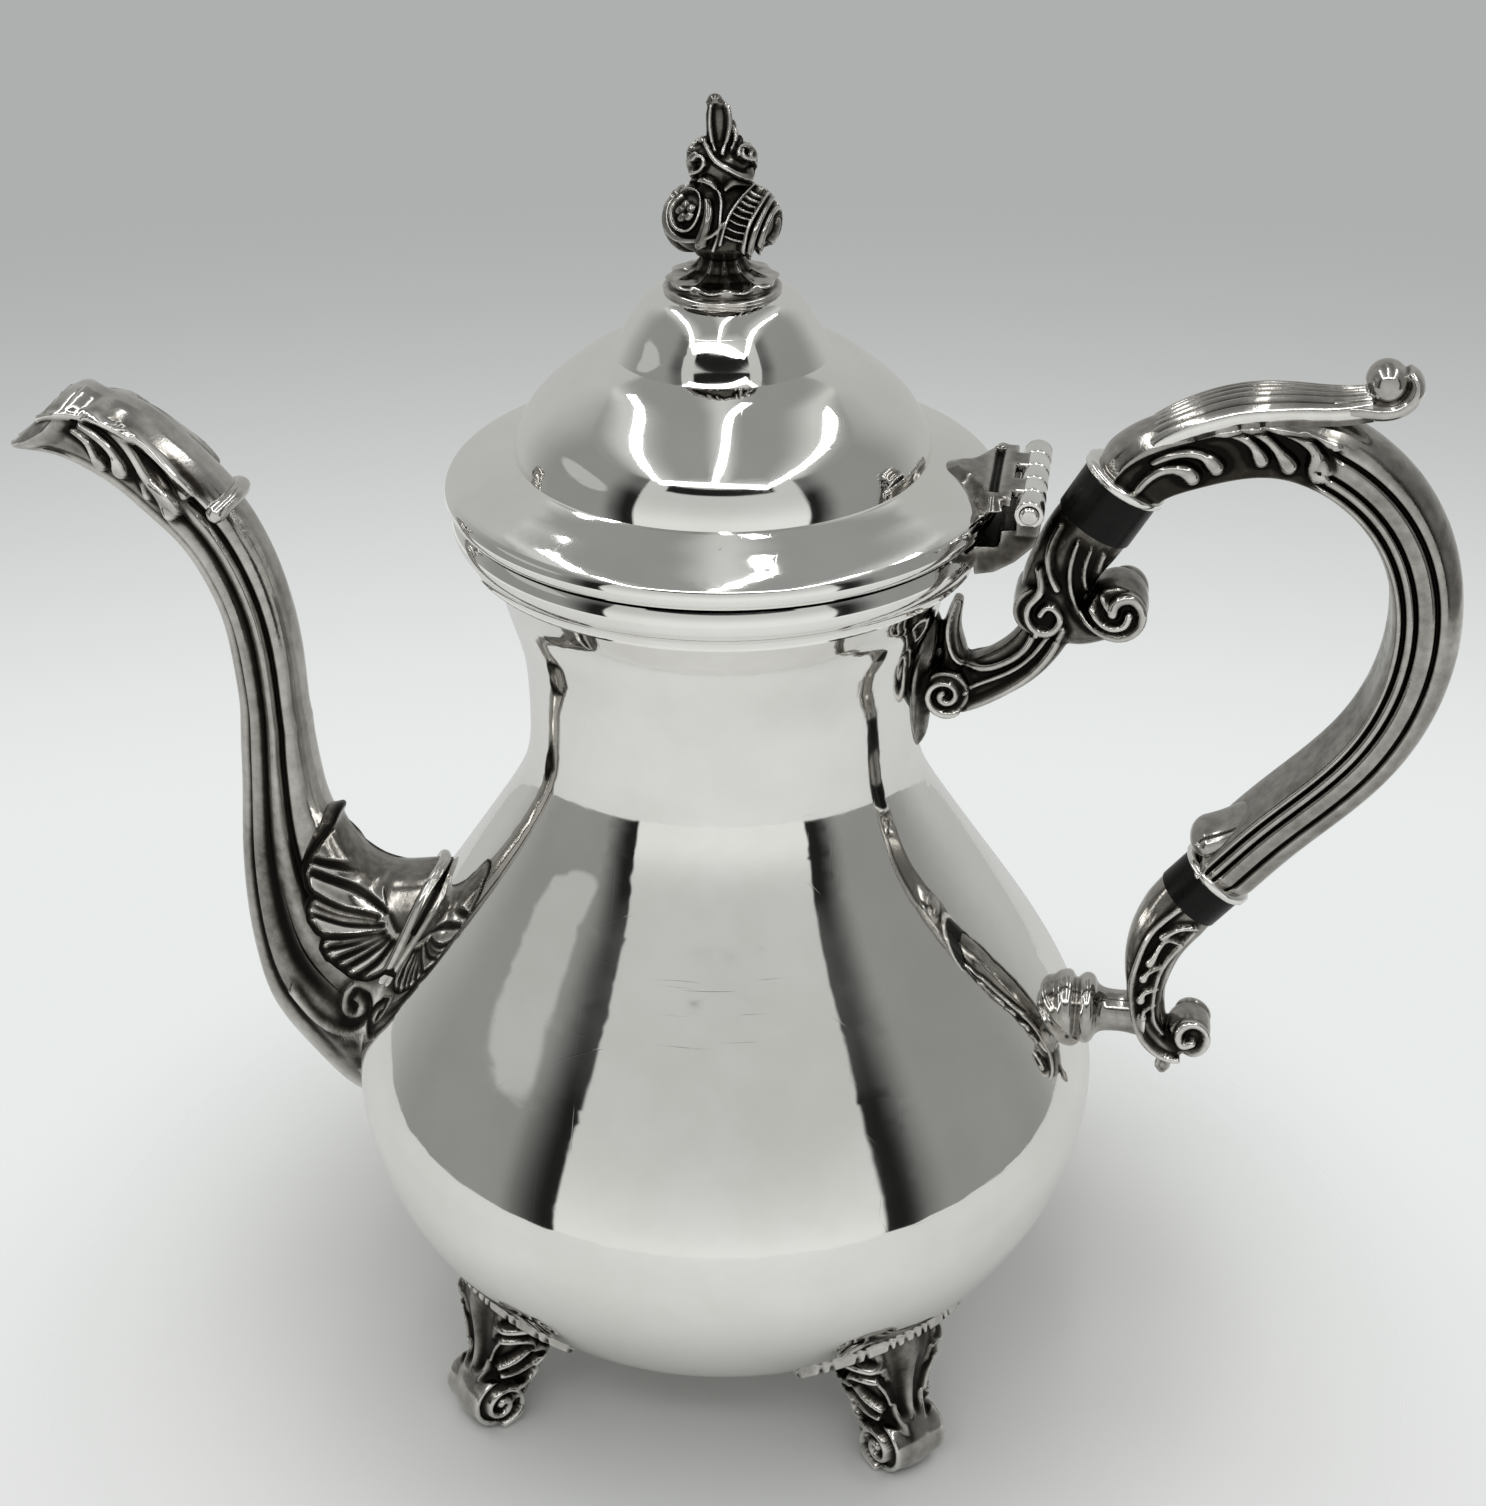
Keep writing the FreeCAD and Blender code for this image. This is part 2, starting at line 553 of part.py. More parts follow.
upper_ferrule = rod(upper_end, upper_axis, ferrule_radius, ferrule_length)
lower_ferrule = rod(lower_end, lower_axis, 0.9 * ferrule_radius, ferrule_length)
tongue_roll = disc(lower_end.x - 3.6, lower_end.z + 7.4, 2.4, 0.75 * grip_half_width)
grip_outer = fused([grip_solid, upper_ferrule, lower_ferrule, tongue_roll])


def insulator(seat, end, axis, radius):
    length = (end - seat).Length
    return fused([rod(seat, axis, radius, length),
                  rod(seat - axis * tenon_length, axis, tenon_radius, length + 2 * tenon_length)])


upper_insulator = insulator(upper_seat, upper_end, upper_axis, insulator_radius)
lower_insulator = insulator(lower_seat, lower_end, lower_axis, 0.92 * insulator_radius)


def cross_pins(seat, end, axis):
    pins = []
    for spot in (seat - axis * (0.5 * tenon_length), end + axis * (0.55 * tenon_length)):
        pins.append(disc(spot.x, spot.z, pin_radius, grip_half_width - pin_cover))
    return Part.makeCompound(pins)


upper_socket_pins = cross_pins(upper_seat, upper_end, upper_axis)
lower_socket_pins = cross_pins(lower_seat, lower_end, lower_axis)

# Upper socket: neck pad, bracket arm, socket tube and volutes in one casting
pad_prism = Part.makeCylinder(1.0, BIG, Vector(0, 0, 0), Vector(1, 0, 0))
widen = FreeCAD.Matrix()
widen.scale(1, 9.0, 14.0)
pad_prism = pad_prism.transformGeometry(widen)
pad_prism.translate(at(0, neck_height + 8.0))
neck_pad = body_filled(2.0).common(pad_prism)
arm_path = spline([at(0.6 * neck_radius, neck_height + 10.0), at(neck_radius + 3.0, neck_height + 7.5),
                   at(0.5 * (neck_radius + upper_seat.x) - 2.0, upper_seat.z - 31.0),
                   upper_seat + at(-9.6, -25.2), upper_seat + at(-5.2, -17.0)])
arm = tube(arm_path, ((0.0, 5.2, 5.2), (0.4, 4.8, 4.6), (1.0, 4.4, 5.2)), 8, 0.0, 2.2)
socket_steps = ((0, 0), (-4.4, -7.6), (-6.0, -15.0), (-3.6, -18.8), (2.4, -20.2))
socket_path = spline([upper_seat + at(x, z) for x, z in socket_steps], upper_axis * -1.0, Vector(1, 0, 0.2))
socket_tube = tube(socket_path, ((0.0, 0.95 * insulator_radius, 0.95 * insulator_radius), (0.4, 5.9, 6.0),
                                 (1.0, 3.4, 5.4)), 8, 0.0, 2.2)
upper_rim = rod(upper_seat - upper_axis * ferrule_length, upper_axis, ferrule_radius, ferrule_length)
right_volute = disc(upper_seat.x + 4.8, upper_seat.z - 15.2, 5.2, 6.2)
left_volute = disc(upper_seat.x - 8.0, upper_seat.z - 15.6, 4.0, 5.8)
upper_socket = fused([arm, socket_tube, upper_rim, neck_pad, right_volute, left_volute])
upper_socket = upper_socket.cut(body_outer)
upper_socket = upper_socket.cut(upper_insulator)
upper_socket = one_solid(upper_socket.cut(upper_socket_pins))

# Lower socket and post
lower_steps = ((0, 0), (-5.4, -8.0), (-7.6, -18.0), (-6.0, -27.0), (-0.6, -32.6))
lower_path = spline([lower_seat + at(x, z) for x, z in lower_steps], lower_axis * -1.0, Vector(1, 0, -0.3))
lower_tube = tube(lower_path, ((0.0, 0.88 * insulator_radius, 0.88 * insulator_radius), (0.35, 4.9, 5.6),
                               (0.7, 4.2, 5.2), (1.0, 2.6, 5.0)), 8, 0.0, 2.2)
lower_rim = rod(lower_seat - lower_axis * ferrule_length, lower_axis, 0.9 * ferrule_radius, ferrule_length)
lower_socket = fused([lower_tube, lower_rim, disc(lower_seat.x + 1.6, lower_seat.z - 29.6, 4.6, 5.6)])
lower_socket = lower_socket.cut(lower_insulator)
lower_socket = one_solid(lower_socket.cut(lower_socket_pins))

post_end = lower_seat.x - 7.0
post_start = belly_radius - 15.0
flange_at = belly_radius - 0.2
post_axis = Vector(1, 0, 0)


def post_rod(start, radius, length):
    return Part.makeCylinder(radius, length, Vector(start, 0, post_height), post_axis)


lower_post = fused([post_rod(post_start, post_radius, post_end - post_start),
                    post_rod(post_start, 0.9 * post_flange_radius, flange_at - post_start - 1.6),
                    post_rod(flange_at - 2.0, post_flange_radius, 2.4),
                    post_rod(flange_at + 0.3, 0.8 * post_flange_radius, 1.2)])
lower_post = one_solid(lower_post.cut(body_outer).cut(lower_socket).cut(lower_socket_pins))

# Thumb leaf over the top of the grip
leaf_steps = ((7.0, 1.016), (16.0, 1.043), (25.0, 1.051), (33.0, 1.053), (38.6, 1.066))
leaf_points = [upper_end + at(1.4, 6.7)] + [on_handle(out, share) for out, share in leaf_steps]
leaf_path = spline(leaf_points)
leaf_sizes = ((0.0, 2.8, 0.8 * leaf_half_width), (0.25, 3.6, 1.1 * leaf_half_width),
              (0.6, 3.4, leaf_half_width), (0.85, 2.4, 0.6 * leaf_half_width),
              (1.0, 1.8, 0.4 * leaf_half_width))
leaf_tube = tube(leaf_path, leaf_sizes, 8, 0.0, 2.2)
leaf_ball = Part.makeSphere(leaf_ball_radius, on_handle(39.6, 1.09))
thumb_leaf = fused([leaf_tube, leaf_ball])
thumb_leaf = one_solid(thumb_leaf.cut(grip_outer))
grip_seated = one_solid(grip_outer.cut(upper_insulator).cut(lower_insulator))
grip_front_half = front(grip_seated)
grip_back_half = back(grip_seated)
for void in (grip_hollow, upper_socket_pins, lower_socket_pins):
    grip_front_half = one_solid(grip_front_half.cut(void))
    grip_back_half = one_solid(grip_back_half.cut(void))
upper_insulator = one_solid(upper_insulator.cut(upper_socket_pins))
lower_insulator = one_solid(lower_insulator.cut(lower_socket_pins))

pieces = {
    "body_shell": body_shell,
    "mouth_band": mouth_band,
    "spout_front_half": spout_front_half,
    "spout_back_half": spout_back_half,
    "spout_shell_collar": spout_shell_collar,
    "upper_socket": upper_socket,
    "upper_insulator": upper_insulator,
    "upper_socket_pins": upper_socket_pins,
    "grip_front_half": grip_front_half,
    "grip_back_half": grip_back_half,
    "thumb_leaf": thumb_leaf,
    "lower_insulator": lower_insulator,
    "lower_socket_pins": lower_socket_pins,
    "lower_socket": lower_socket,
    "lower_post": lower_post,
    "hinge_body_leaf": hinge_body_leaf,
    "hinge_pin": hinge_pin,
    "lid_shell": lid_shell,
    "lid_bezel": lid_bezel,
    "hinge_lid_leaf": hinge_lid_leaf,
    "finial": finial,
    "finial_stud": finial_stud,
    "finial_washer": finial_washer,
    "finial_nut": finial_nut,
}
for place, angle in foot_angles.items():
    for name, shape in (("foot_", foot_shape), ("foot_plate_", plate_shape)):
        turned = shape.copy()
        turned.rotate(Vector(0, 0, 0), Vector(0, 0, 1), angle)
        pieces[name + place] = turned
for name, shape in pieces.items():
    save(name, shape)
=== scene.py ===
import math

import bmesh
import bpy
import numpy as np
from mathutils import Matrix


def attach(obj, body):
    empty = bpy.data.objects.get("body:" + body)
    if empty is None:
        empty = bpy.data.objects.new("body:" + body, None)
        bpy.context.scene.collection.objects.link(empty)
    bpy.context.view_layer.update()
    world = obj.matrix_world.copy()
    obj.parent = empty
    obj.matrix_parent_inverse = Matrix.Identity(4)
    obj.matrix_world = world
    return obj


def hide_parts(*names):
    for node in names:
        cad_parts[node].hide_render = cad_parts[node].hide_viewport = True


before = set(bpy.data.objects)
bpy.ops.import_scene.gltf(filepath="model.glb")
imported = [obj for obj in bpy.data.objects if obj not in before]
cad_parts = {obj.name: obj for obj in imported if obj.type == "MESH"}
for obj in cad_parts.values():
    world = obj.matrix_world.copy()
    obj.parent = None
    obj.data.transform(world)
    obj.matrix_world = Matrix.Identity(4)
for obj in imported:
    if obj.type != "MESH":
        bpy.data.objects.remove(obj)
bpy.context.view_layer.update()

MM = 0.001
DEGREES = 180 / math.pi

# Camera of the photograph: place in metres, angles in degrees, lens for the sensor's long side
CAMERA_AT = (0.0690, -0.4136, 0.3661)
CAMERA_PITCH = 29.43
CAMERA_TURN = 9.0
CAMERA_LENS = 62.15
CAMERA_SENSOR = 36.0

# Studio, in metres: a round floor, darker near the pot as painted shade, that turns pale and fades into the
# backdrop between two reaches each, and lamp bars in the roof of a light tent: name, place over the floor,
# size, power in watts
FLOOR_RADIUS = 0.40
FLOOR_SIDES = 96
FLOOR_DROP = 0.0002
FLOOR_FADE = (0.075, 0.17)
FLOOR_SHADE_TO_PALE = (0.05, 0.12)
LAMP_HEIGHT = 0.86
LAMPS = (("bar_front", (0.06, -0.70), (0.98, 0.12), 1.6), ("bar_middle", (0.04, -0.2), (0.04, 0.9), 0.6),
         ("bar_left", (-0.43, -0.15), (0.07, 1.0), 1.3), ("bar_right", (0.53, -0.15), (0.07, 1.0), 1.3))

# Levels of light from the parts of the tent
SIDE_WALL = 0.28
BACK_WALL = 0.5
GAP = 0.014
FLAP_LOW = 0.80
FLAP_HIGH = 0.56
PATCH = 0.48
OPENING = 0.012
ROOF = 0.30
ROOF_GLOW = 0.72
GROUND = 0.80
TENT_TINT = (0.992, 1.0, 0.972)

# Pot sizes in millimetres, as in the part's source. All other shapes below are in millimetres too
BELLY = 71.0
LEVEL = 58.0
BASE = 10.0
NECK = 35.4
NECK_Z = 140.0
MOUTH = 44.0
BAND_LOW = 173.5


# Curves and meshes

def run_along(path):
    # length from the start of a path to each of its points
    steps = np.linalg.norm(np.diff(path, axis=0), axis=1)
    return np.concatenate([[0], np.cumsum(steps)])


def spline(points, count):
    # natural cubic through the points, with the chord length as parameter
    p = np.asarray(points, float)
    t = run_along(p)
    n = len(p)
    h = np.diff(t)
    m = np.zeros((n, n))
    r = np.zeros_like(p)
    m[0, 0] = m[-1, -1] = 1
    for i in range(1, n - 1):
        m[i, i - 1:i + 2] = h[i - 1], 2 * (h[i - 1] + h[i]), h[i]
        r[i] = 6 * ((p[i + 1] - p[i]) / h[i] - (p[i] - p[i - 1]) / h[i - 1])
    k = np.linalg.solve(m, r)
    u = np.linspace(0, t[-1], count)
    i = np.clip(np.searchsorted(t, u, side="right") - 1, 0, n - 2)
    w = h[i][:, None]
    a = (t[i + 1] - u)[:, None]
    b = (u - t[i])[:, None]
    straight = (p[i] / w - k[i] * w / 6) * a + (p[i + 1] / w - k[i + 1] * w / 6) * b
    return (k[i] * a ** 3 + k[i + 1] * b ** 3) / (6 * w) + straight


def smooth(low, high, value):
    t = np.clip((value - low) / (high - low), 0, 1)
    return t * t * (3 - 2 * t)


def bump(value, centre, half):
    return np.exp(-((value - centre) / half) ** 2)


def circle(count):
    return np.linspace(0, 2 * math.pi, count, endpoint=False)


def unit(vectors):
    return vectors / np.linalg.norm(vectors, axis=-1, keepdims=True)


def oval(angle, power):
    c, s = np.cos(angle), np.sin(angle)
    return np.sign(c) * np.abs(c) ** (2 / power), np.sign(s) * np.abs(s) ** (2 / power)


def spun(points, degrees):
    # points turned about the pot's axis
    turn = math.radians(degrees)
    c, s = math.cos(turn), math.sin(turn)
    return points @ np.array([[c, s, 0], [-s, c, 0], [0, 0, 1]])


def spiral(centre, start, turns, r_out, r_in, count=48):
    # points from the rim of a volute to its eye; the start angle is in degrees
    t = np.linspace(0, 1, count)
    angle = np.radians(start + 360 * turns * t)
    r = r_out + (r_in - r_out) * t ** 0.8
    return np.stack([centre[0] + r * np.cos(angle), centre[1] + r * np.sin(angle)], axis=1)


def both_ways(half):
    # profile of a turned piece from its half, mirrored to the other end
    half = np.asarray(half, float)
    return np.concatenate([half[::-1] * (-1, 1), half[half[:, 0] > 0]])


def across_of(path):
    # direction to the right of the path in the plane of the handle and spout
    t = unit(np.gradient(path, axis=0))
    return np.stack([t[:, 1], -t[:, 0]], axis=1)


def swept(path, across, side, up):
    # rows of points: side is the reach along across, up the reach along Y, both rows x columns
    grid = np.zeros(side.shape + (3,))
    grid[..., 0] = path[:, None, 0] + across[:, None, 0] * side
    grid[..., 2] = path[:, None, 1] + across[:, None, 1] * side
    grid[..., 1] = up
    return grid


def grid_normals(grid):
    # unit normals of a tube's grid, away from the middle of its rows
    ring = np.concatenate([grid[:, -1:], grid, grid[:, :1]], axis=1)
    n = unit(np.cross(np.gradient(grid, axis=0), ring[:, 2:] - ring[:, :-2]))
    away = grid - grid.mean(axis=1, keepdims=True)
    return n if np.sum(n * away) > 0 else -n


def grid_faces(rows, columns, wrap_rows=False):
    i = np.arange(rows if wrap_rows else rows - 1)[:, None]
    j = np.arange(columns)
    right = (j + 1) % columns
    below = (i + 1) % rows * columns
    corners = (i * columns + j, i * columns + right, below + right, below + j)
    return np.stack(corners, axis=-1).reshape(-1, 4).tolist()


def closed_grid(grid, wrap_rows=False):
    # vertices and faces of a tube; open ends are closed with fans
    rows, columns = grid.shape[:2]
    verts = grid.reshape(-1, 3)
    faces = grid_faces(rows, columns, wrap_rows)
    if not wrap_rows:
        n = len(verts)
        verts = np.concatenate([verts, grid[:1].mean(axis=1), grid[-1:].mean(axis=1)])
        last = (rows - 1) * columns
        for j in range(columns):
            k = (j + 1) % columns
            faces.append((n, k, j))
            faces.append((n + 1, last + j, last + k))
    return verts, faces


def sheet(skin, under):
    # thin plate between two grids of the same size, closed all round
    rows, columns = skin.shape[:2]
    faces = [f for f in grid_faces(2 * rows, columns, True) if abs(f[0] % columns - f[1] % columns) == 1]
    for c in (0, columns - 1):
        for i in range(rows - 1):
            ring = (i, i + 1, 2 * rows - 2 - i, 2 * rows - 1 - i)
            faces.append(tuple(row * columns + c for row in ring))
    return np.concatenate([skin, under[::-1]]).reshape(-1, 3), faces


def rope(path, radius, up, columns, taper):
    # round bar along a path in space; taper scales its radius along the way
    t = unit(np.gradient(path, axis=0))
    a = unit(np.cross(t, up))
    b = np.cross(t, a)
    angle = circle(columns)[:, None]
    r = (radius * taper)[:, None, None]
    return closed_grid(path[:, None] + r * (a[:, None] * np.cos(angle) + b[:, None] * np.sin(angle)))


def tube(points, thick, wide, rows=60, columns=40, power=2.2):
    # bar in the plane of the handle and spout; thick in that plane, wide across it
    path = spline(points, rows)
    share = np.linspace(0, 1, rows)
    c, s = oval(circle(columns), power)
    h = np.interp(share, np.linspace(0, 1, len(thick)), thick)
    w = np.interp(share, np.linspace(0, 1, len(wide)), wide)
    return closed_grid(swept(path, across_of(path), h[:, None] * c, w[:, None] * s))


def turned(profile, centre, axis, columns, rows=0, wrap_rows=False):
    # solid of revolution round X, Y or Z; without rows the profile keeps its corners
    line = spline(profile, rows) if rows else np.asarray(profile, float)
    angle = circle(columns)
    along = line[:, :1] + 0 * angle
    c = line[:, 1:] * np.cos(angle)
    s = line[:, 1:] * np.sin(angle)
    sides = {"x": (along, c, s), "y": (c, along, s), "z": (c, s, along)}
    return closed_grid(np.stack(sides[axis], axis=-1) + np.asarray(centre, float), wrap_rows)


DRUM = both_ways(((0.0, 1.03), (0.85, 1.0), (0.96, 0.97), (1.0, 0.9)))


def drum(x, z, radius, half_width):
    return turned(DRUM * (half_width, radius), (x, 0, z), "y", 48)


def slab(section, y_low, y_high):
    # section in side view drawn across the pot
    p = np.asarray(section, float)
    return closed_grid(np.array([np.insert(p, 1, y, axis=1) for y in (y_low, y_high)]))


def merged(*shapes):
    verts, faces, start = [], [], 0
    for v, f in shapes:
        verts.append(np.asarray(v, float))
        faces += [tuple(i + start for i in face) for face in f]
        start += len(v)
    return np.concatenate(verts), faces


def new_mesh(name, verts, faces):
    mesh = bpy.data.meshes.new(name)
    mesh.from_pydata((np.asarray(verts) * MM).tolist(), [], faces)
    work = bmesh.new()
    work.from_mesh(mesh)
    bmesh.ops.recalc_face_normals(work, faces=work.faces)
    work.to_mesh(mesh)
    work.free()
    return mesh


def read_mesh(mesh):
    # places in millimetres and normals of a mesh's points
    found = []
    for key in ("co", "normal"):
        values = np.zeros(len(mesh.vertices) * 3)
        mesh.vertices.foreach_get(key, values)
        found.append(values.reshape(-1, 3))
    return found[0] / MM, found[1]


def write_mesh(mesh, co):
    mesh.vertices.foreach_set("co", (co * MM).ravel())
    mesh.update()


def relaxed(mesh, values, rounds):
    # values evened out: each point takes the mean of its neighbours
    edges = np.zeros(len(mesh.edges) * 2, int)
    mesh.edges.foreach_get("vertices", edges)
    a, b = edges.reshape(-1, 2).T
    here = np.concatenate([a, b])
    there = np.concatenate([b, a])
    count = np.maximum(np.bincount(here, minlength=len(values)), 1)[:, None]
    for _ in range(rounds):
        sums = [np.bincount(here, column[there], minlength=len(values)) for column in values.T]
        values = np.stack(sums, axis=1) / count
    return values


def linked(name, data):
    thing = bpy.data.objects.new(name, data)
    bpy.context.collection.objects.link(thing)
    return thing


def fused(name, shapes, voxel, rounds):
    # one skin round overlapping closed shapes
    mesh = new_mesh(name + "_raw", *merged(*shapes))
    thing = linked(name + "_raw", mesh)
    remesh = thing.modifiers.new("skin", "REMESH")
    remesh.mode = "VOXEL"
    remesh.voxel_size = voxel * MM
    graph = bpy.context.evaluated_depsgraph_get()
    made = bpy.data.meshes.new_from_object(thing.evaluated_get(graph))
    made.name = name
    bpy.data.objects.remove(thing)
    bpy.data.meshes.remove(mesh)
    write_mesh(made, relaxed(made, read_mesh(made)[0], rounds))
    return made


def shape_of(mesh):
    # vertices and faces of a mesh that goes into another one
    co, _ = read_mesh(mesh)
    faces = [tuple(face.vertices) for face in mesh.polygons]
    bpy.data.meshes.remove(mesh)
    return co, faces


def push(mesh, amount):
    co, no = read_mesh(mesh)
    write_mesh(mesh, co + no * amount[:, None])


# Relief: ridges along lines drawn on a face, and tarnish in what lies between them
RIDGE_STEP = 0.25
RIDGE_LEAST = 12


def near(points, path):
    # distance from each point to the nearest sample of a path, and that sample's share
    best = np.full(len(points), 1e9)
    share = np.zeros(len(points))
    for k, spot in enumerate(path):
        d = np.sum((points - spot) ** 2, axis=1)
        hit = d < best
        best[hit] = d[hit]
        share[hit] = k / (len(path) - 1)
    return np.sqrt(best), share


def ridge(points, line, half, height, taper=(1, 1), drop=0.0):
    # rounded ridge along a line; taper scales its half width at both ends, drop swells its far end
    rough_path = spline(line, max(RIDGE_LEAST, 4 * len(line)))
    path = spline(line, int(max(RIDGE_LEAST, run_along(rough_path)[-1] / RIDGE_STEP)))
    margin = 2 * half + drop
    inside = np.all((points > path.min(0) - margin) & (points < path.max(0) + margin), axis=1)
    out = np.zeros(len(points))
    if inside.any():
        d, share = near(points[inside], path)
        wide = half * (taper[0] + (taper[1] - taper[0]) * share) + drop * smooth(0.7, 0.95, share)
        arch = np.sqrt(np.clip(1 - (d / np.maximum(wide, 1e-6)) ** 2, 0, 1))
        out[inside] = height * np.minimum(wide / half, 1) * arch
    return out


def ridges(points, lines, ground=0.0):
    # highest ridge at each point, over a ground that is sunk below the face
    field = np.zeros(len(points))
    for line, half, height, *ends in lines:
        field = np.maximum(field, ridge(points, line, half, height + ground, *ends))
    return field - ground


def side_relief(mesh, lines, ground, start=0.0):
    # ridges drawn in side view on both flanks of a casting, from a start along X
    co, no = read_mesh(mesh)
    weight = smooth(0.25, 0.75, np.abs(no[:, 1])) * smooth(start, start + 2, co[:, 0])
    push(mesh, weight * ridges(co[:, [0, 2]], lines, ground))


def set_patina_and_painted_light(mesh, rounds, depth, plain, worn=0.6):
    # tarnish: low on worn ridges, plain on even faces, high where a point lies below its surroundings; the
    # plain level also holds painted shade on the hinge bracket and a painted highlight on the toe knuckles
    co, no = read_mesh(mesh)
    hollow = np.sum((relaxed(mesh, co, rounds) - co) * no, axis=1)
    share = plain + 0.5 * np.clip(hollow / np.where(hollow > 0, depth, worn), -1, 1)
    share = relaxed(mesh, share[:, None], 2)[:, 0]
    layer = mesh.attributes.new("patina_and_painted_light", "FLOAT", "POINT")
    layer.data.foreach_set("value", share)


def casting(mesh, name, body, *nodes):
    thing = linked(name, mesh)
    mesh.materials.clear()
    mesh.materials.append(CAST_SILVER)
    mesh.polygons.foreach_set("use_smooth", np.ones(len(mesh.polygons), bool))
    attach(thing, body)
    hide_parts(*nodes)


# Shader helpers

def node_tree(owner):
    owner.use_nodes = True
    owner.node_tree.nodes.clear()
    return owner.node_tree


def add(tree, kind, inputs=None, **settings):
    # new node; an input that is a number or colour is set on its socket, anything else is linked to it
    node = tree.nodes.new("ShaderNode" + kind)
    for key, value in settings.items():
        setattr(node, key, value)
    for key, value in (inputs or {}).items():
        socket = node.inputs[key]
        if isinstance(value, Value):
            value = value.socket
        if isinstance(value, bpy.types.NodeSocket):
            tree.links.new(value, socket)
        elif socket.type == "RGBA":
            socket.default_value = value + (1,)
        else:
            socket.default_value = value
    return node


class Value:
    # number in a node tree; what is worked out from it becomes nodes

    def __init__(self, tree, socket):
        self.tree = tree
        self.socket = socket

    def calc(self, operation, other=0.0):
        node = add(self.tree, "Math", {0: self, 1: other}, operation=operation)
        return Value(self.tree, node.outputs[0])

    def __add__(self, other):
        return self.calc("ADD", other)

    def __sub__(self, other):
        return self.calc("SUBTRACT", other)

    def __mul__(self, other):
        return self.calc("MULTIPLY", other)

    def __truediv__(self, other):
        return self.calc("DIVIDE", other)

    def step(self, low, high):
        # smooth step from 0 at low to 1 at high
        ends = {"Value": self, "From Min": low, "From Max": high}
        node = add(self.tree, "MapRange", ends, interpolation_type="SMOOTHSTEP")
        return Value(self.tree, node.outputs["Result"])

    def window(self, low, high, soft):
        return self.step(low - soft, low + soft) * self.step(high + soft, high - soft)

    def mix(self, a, b):
        # a where this is 0, b where it is 1
        return self * b + (self * -1 + 1) * a

    def tint(self, a, b):
        return add(self.tree, "Mix", {0: self, 6: a, 7: b}, data_type="RGBA").outputs[2]


def noise(tree, place, scale, detail=2.0, rough=0.5):
    node = add(tree, "TexNoise", {"Vector": place, "Scale": scale, "Detail": detail, "Roughness": rough})
    return Value(tree, node.outputs["Fac"])


def bumped(height, strength, distance):
    sizes = {"Height": height, "Strength": strength, "Distance": distance}
    return add(height.tree, "Bump", sizes).outputs[0]


def new_material(name):
    # material with its tree, and the place of a point on the object
    material = bpy.data.materials.new(name)
    tree = node_tree(material)
    return material, tree, add(tree, "TexCoord").outputs["Object"]


def finish_material(tree, inputs):
    surface = add(tree, "BsdfPrincipled", inputs)
    add(tree, "OutputMaterial", {"Surface": surface.outputs[0]})


# Studio

def tent_light(x, y, z, side, rise):
    # level of light by direction; side is the angle from the front and rise the height, in degrees
    off = (side + 1).calc("ABSOLUTE")
    wall = off.step(100, 140).mix(SIDE_WALL, BACK_WALL)
    # front flap with a dark gap on both sides, and a pale patch on the side wall
    gap = off.step(68, 51) * rise.step(20, 34).mix(1.0, 0.55)
    wall = gap.mix(wall, GAP)
    wall = off.window(-20, 46.8, 0.7).mix(wall, rise.step(-10, 28).mix(FLAP_LOW, FLAP_HIGH))
    patch = ((side + 85) / 19).calc("POWER", 2) + ((rise - 18) / 6).calc("POWER", 2)
    wall = patch.step(1.15, 0.75).mix(wall, PATCH)
    # dark room over the front flap
    wall = (rise.window(32.5, 40, 0.6) * off.window(-20, 33, 1.0)).mix(wall, OPENING)
    # roof with a glow round each lamp bar
    height = z.calc("MAXIMUM", 0.05)
    over_x = x / height
    over_y = y * -1 / height
    glow = over_x.calc("ABSOLUTE").window(0.60, 0.84, 0.22).calc("MAXIMUM", over_y.window(0.9, 1.3, 0.22))
    glow = glow.calc("MAXIMUM", over_x.window(-0.05, 0.05, 0.1))
    level = rise.step(39, 43).mix(wall, glow.mix(ROOF, ROOF_GLOW))
    return rise.step(-19, -21).mix(level, GROUND)


def build_world():
    world = bpy.data.worlds.new("tent")
    bpy.context.scene.world = world
    tree = node_tree(world)
    ray = add(tree, "TexCoord").outputs["Generated"]
    turn = {"Vector": ray, "Angle": -math.radians(CAMERA_TURN)}
    turned_ray = add(tree, "VectorRotate", turn, rotation_type="Z_AXIS").outputs[0]
    x, y, z = (Value(tree, socket) for socket in add(tree, "SeparateXYZ", {0: turned_ray}).outputs)
    side = x.calc("ARCTAN2", y * -1) * DEGREES
    rise = z.calc("ARCSINE") * DEGREES
    level = tent_light(x, y, z, side, rise)
    tint = add(tree, "CombineColor", {index: level * share for index, share in enumerate(TENT_TINT)})
    light = add(tree, "Background", {"Color": tint.outputs[0]})
    # backdrop that the camera sees, and mirrored rays too where they go down to it
    near_tone = rise.step(-44, -36).tint((0.78, 0.79, 0.785), (0.81, 0.835, 0.825))
    seen = add(tree, "Background", {"Color": rise.step(-30, -17).tint(near_tone, (0.425, 0.435, 0.43))})
    path = add(tree, "LightPath").outputs
    mirrored = Value(tree, path["Is Glossy Ray"]).calc("MAXIMUM", path["Is Transmission Ray"])
    share = (mirrored * rise.step(-24, -32)).calc("MAXIMUM", path["Is Camera Ray"])
    pick = add(tree, "MixShader", {0: share, 1: light.outputs[0], 2: seen.outputs[0]})
    add(tree, "OutputWorld", {"Surface": pick.outputs[0]})


def build_lamps():
    for name, place, size, power in LAMPS:
        data = bpy.data.lights.new(name, "AREA")
        data.shape = "RECTANGLE"
        data.size, data.size_y = size
        data.energy = power
        linked(name, data).location = place + (LAMP_HEIGHT,)


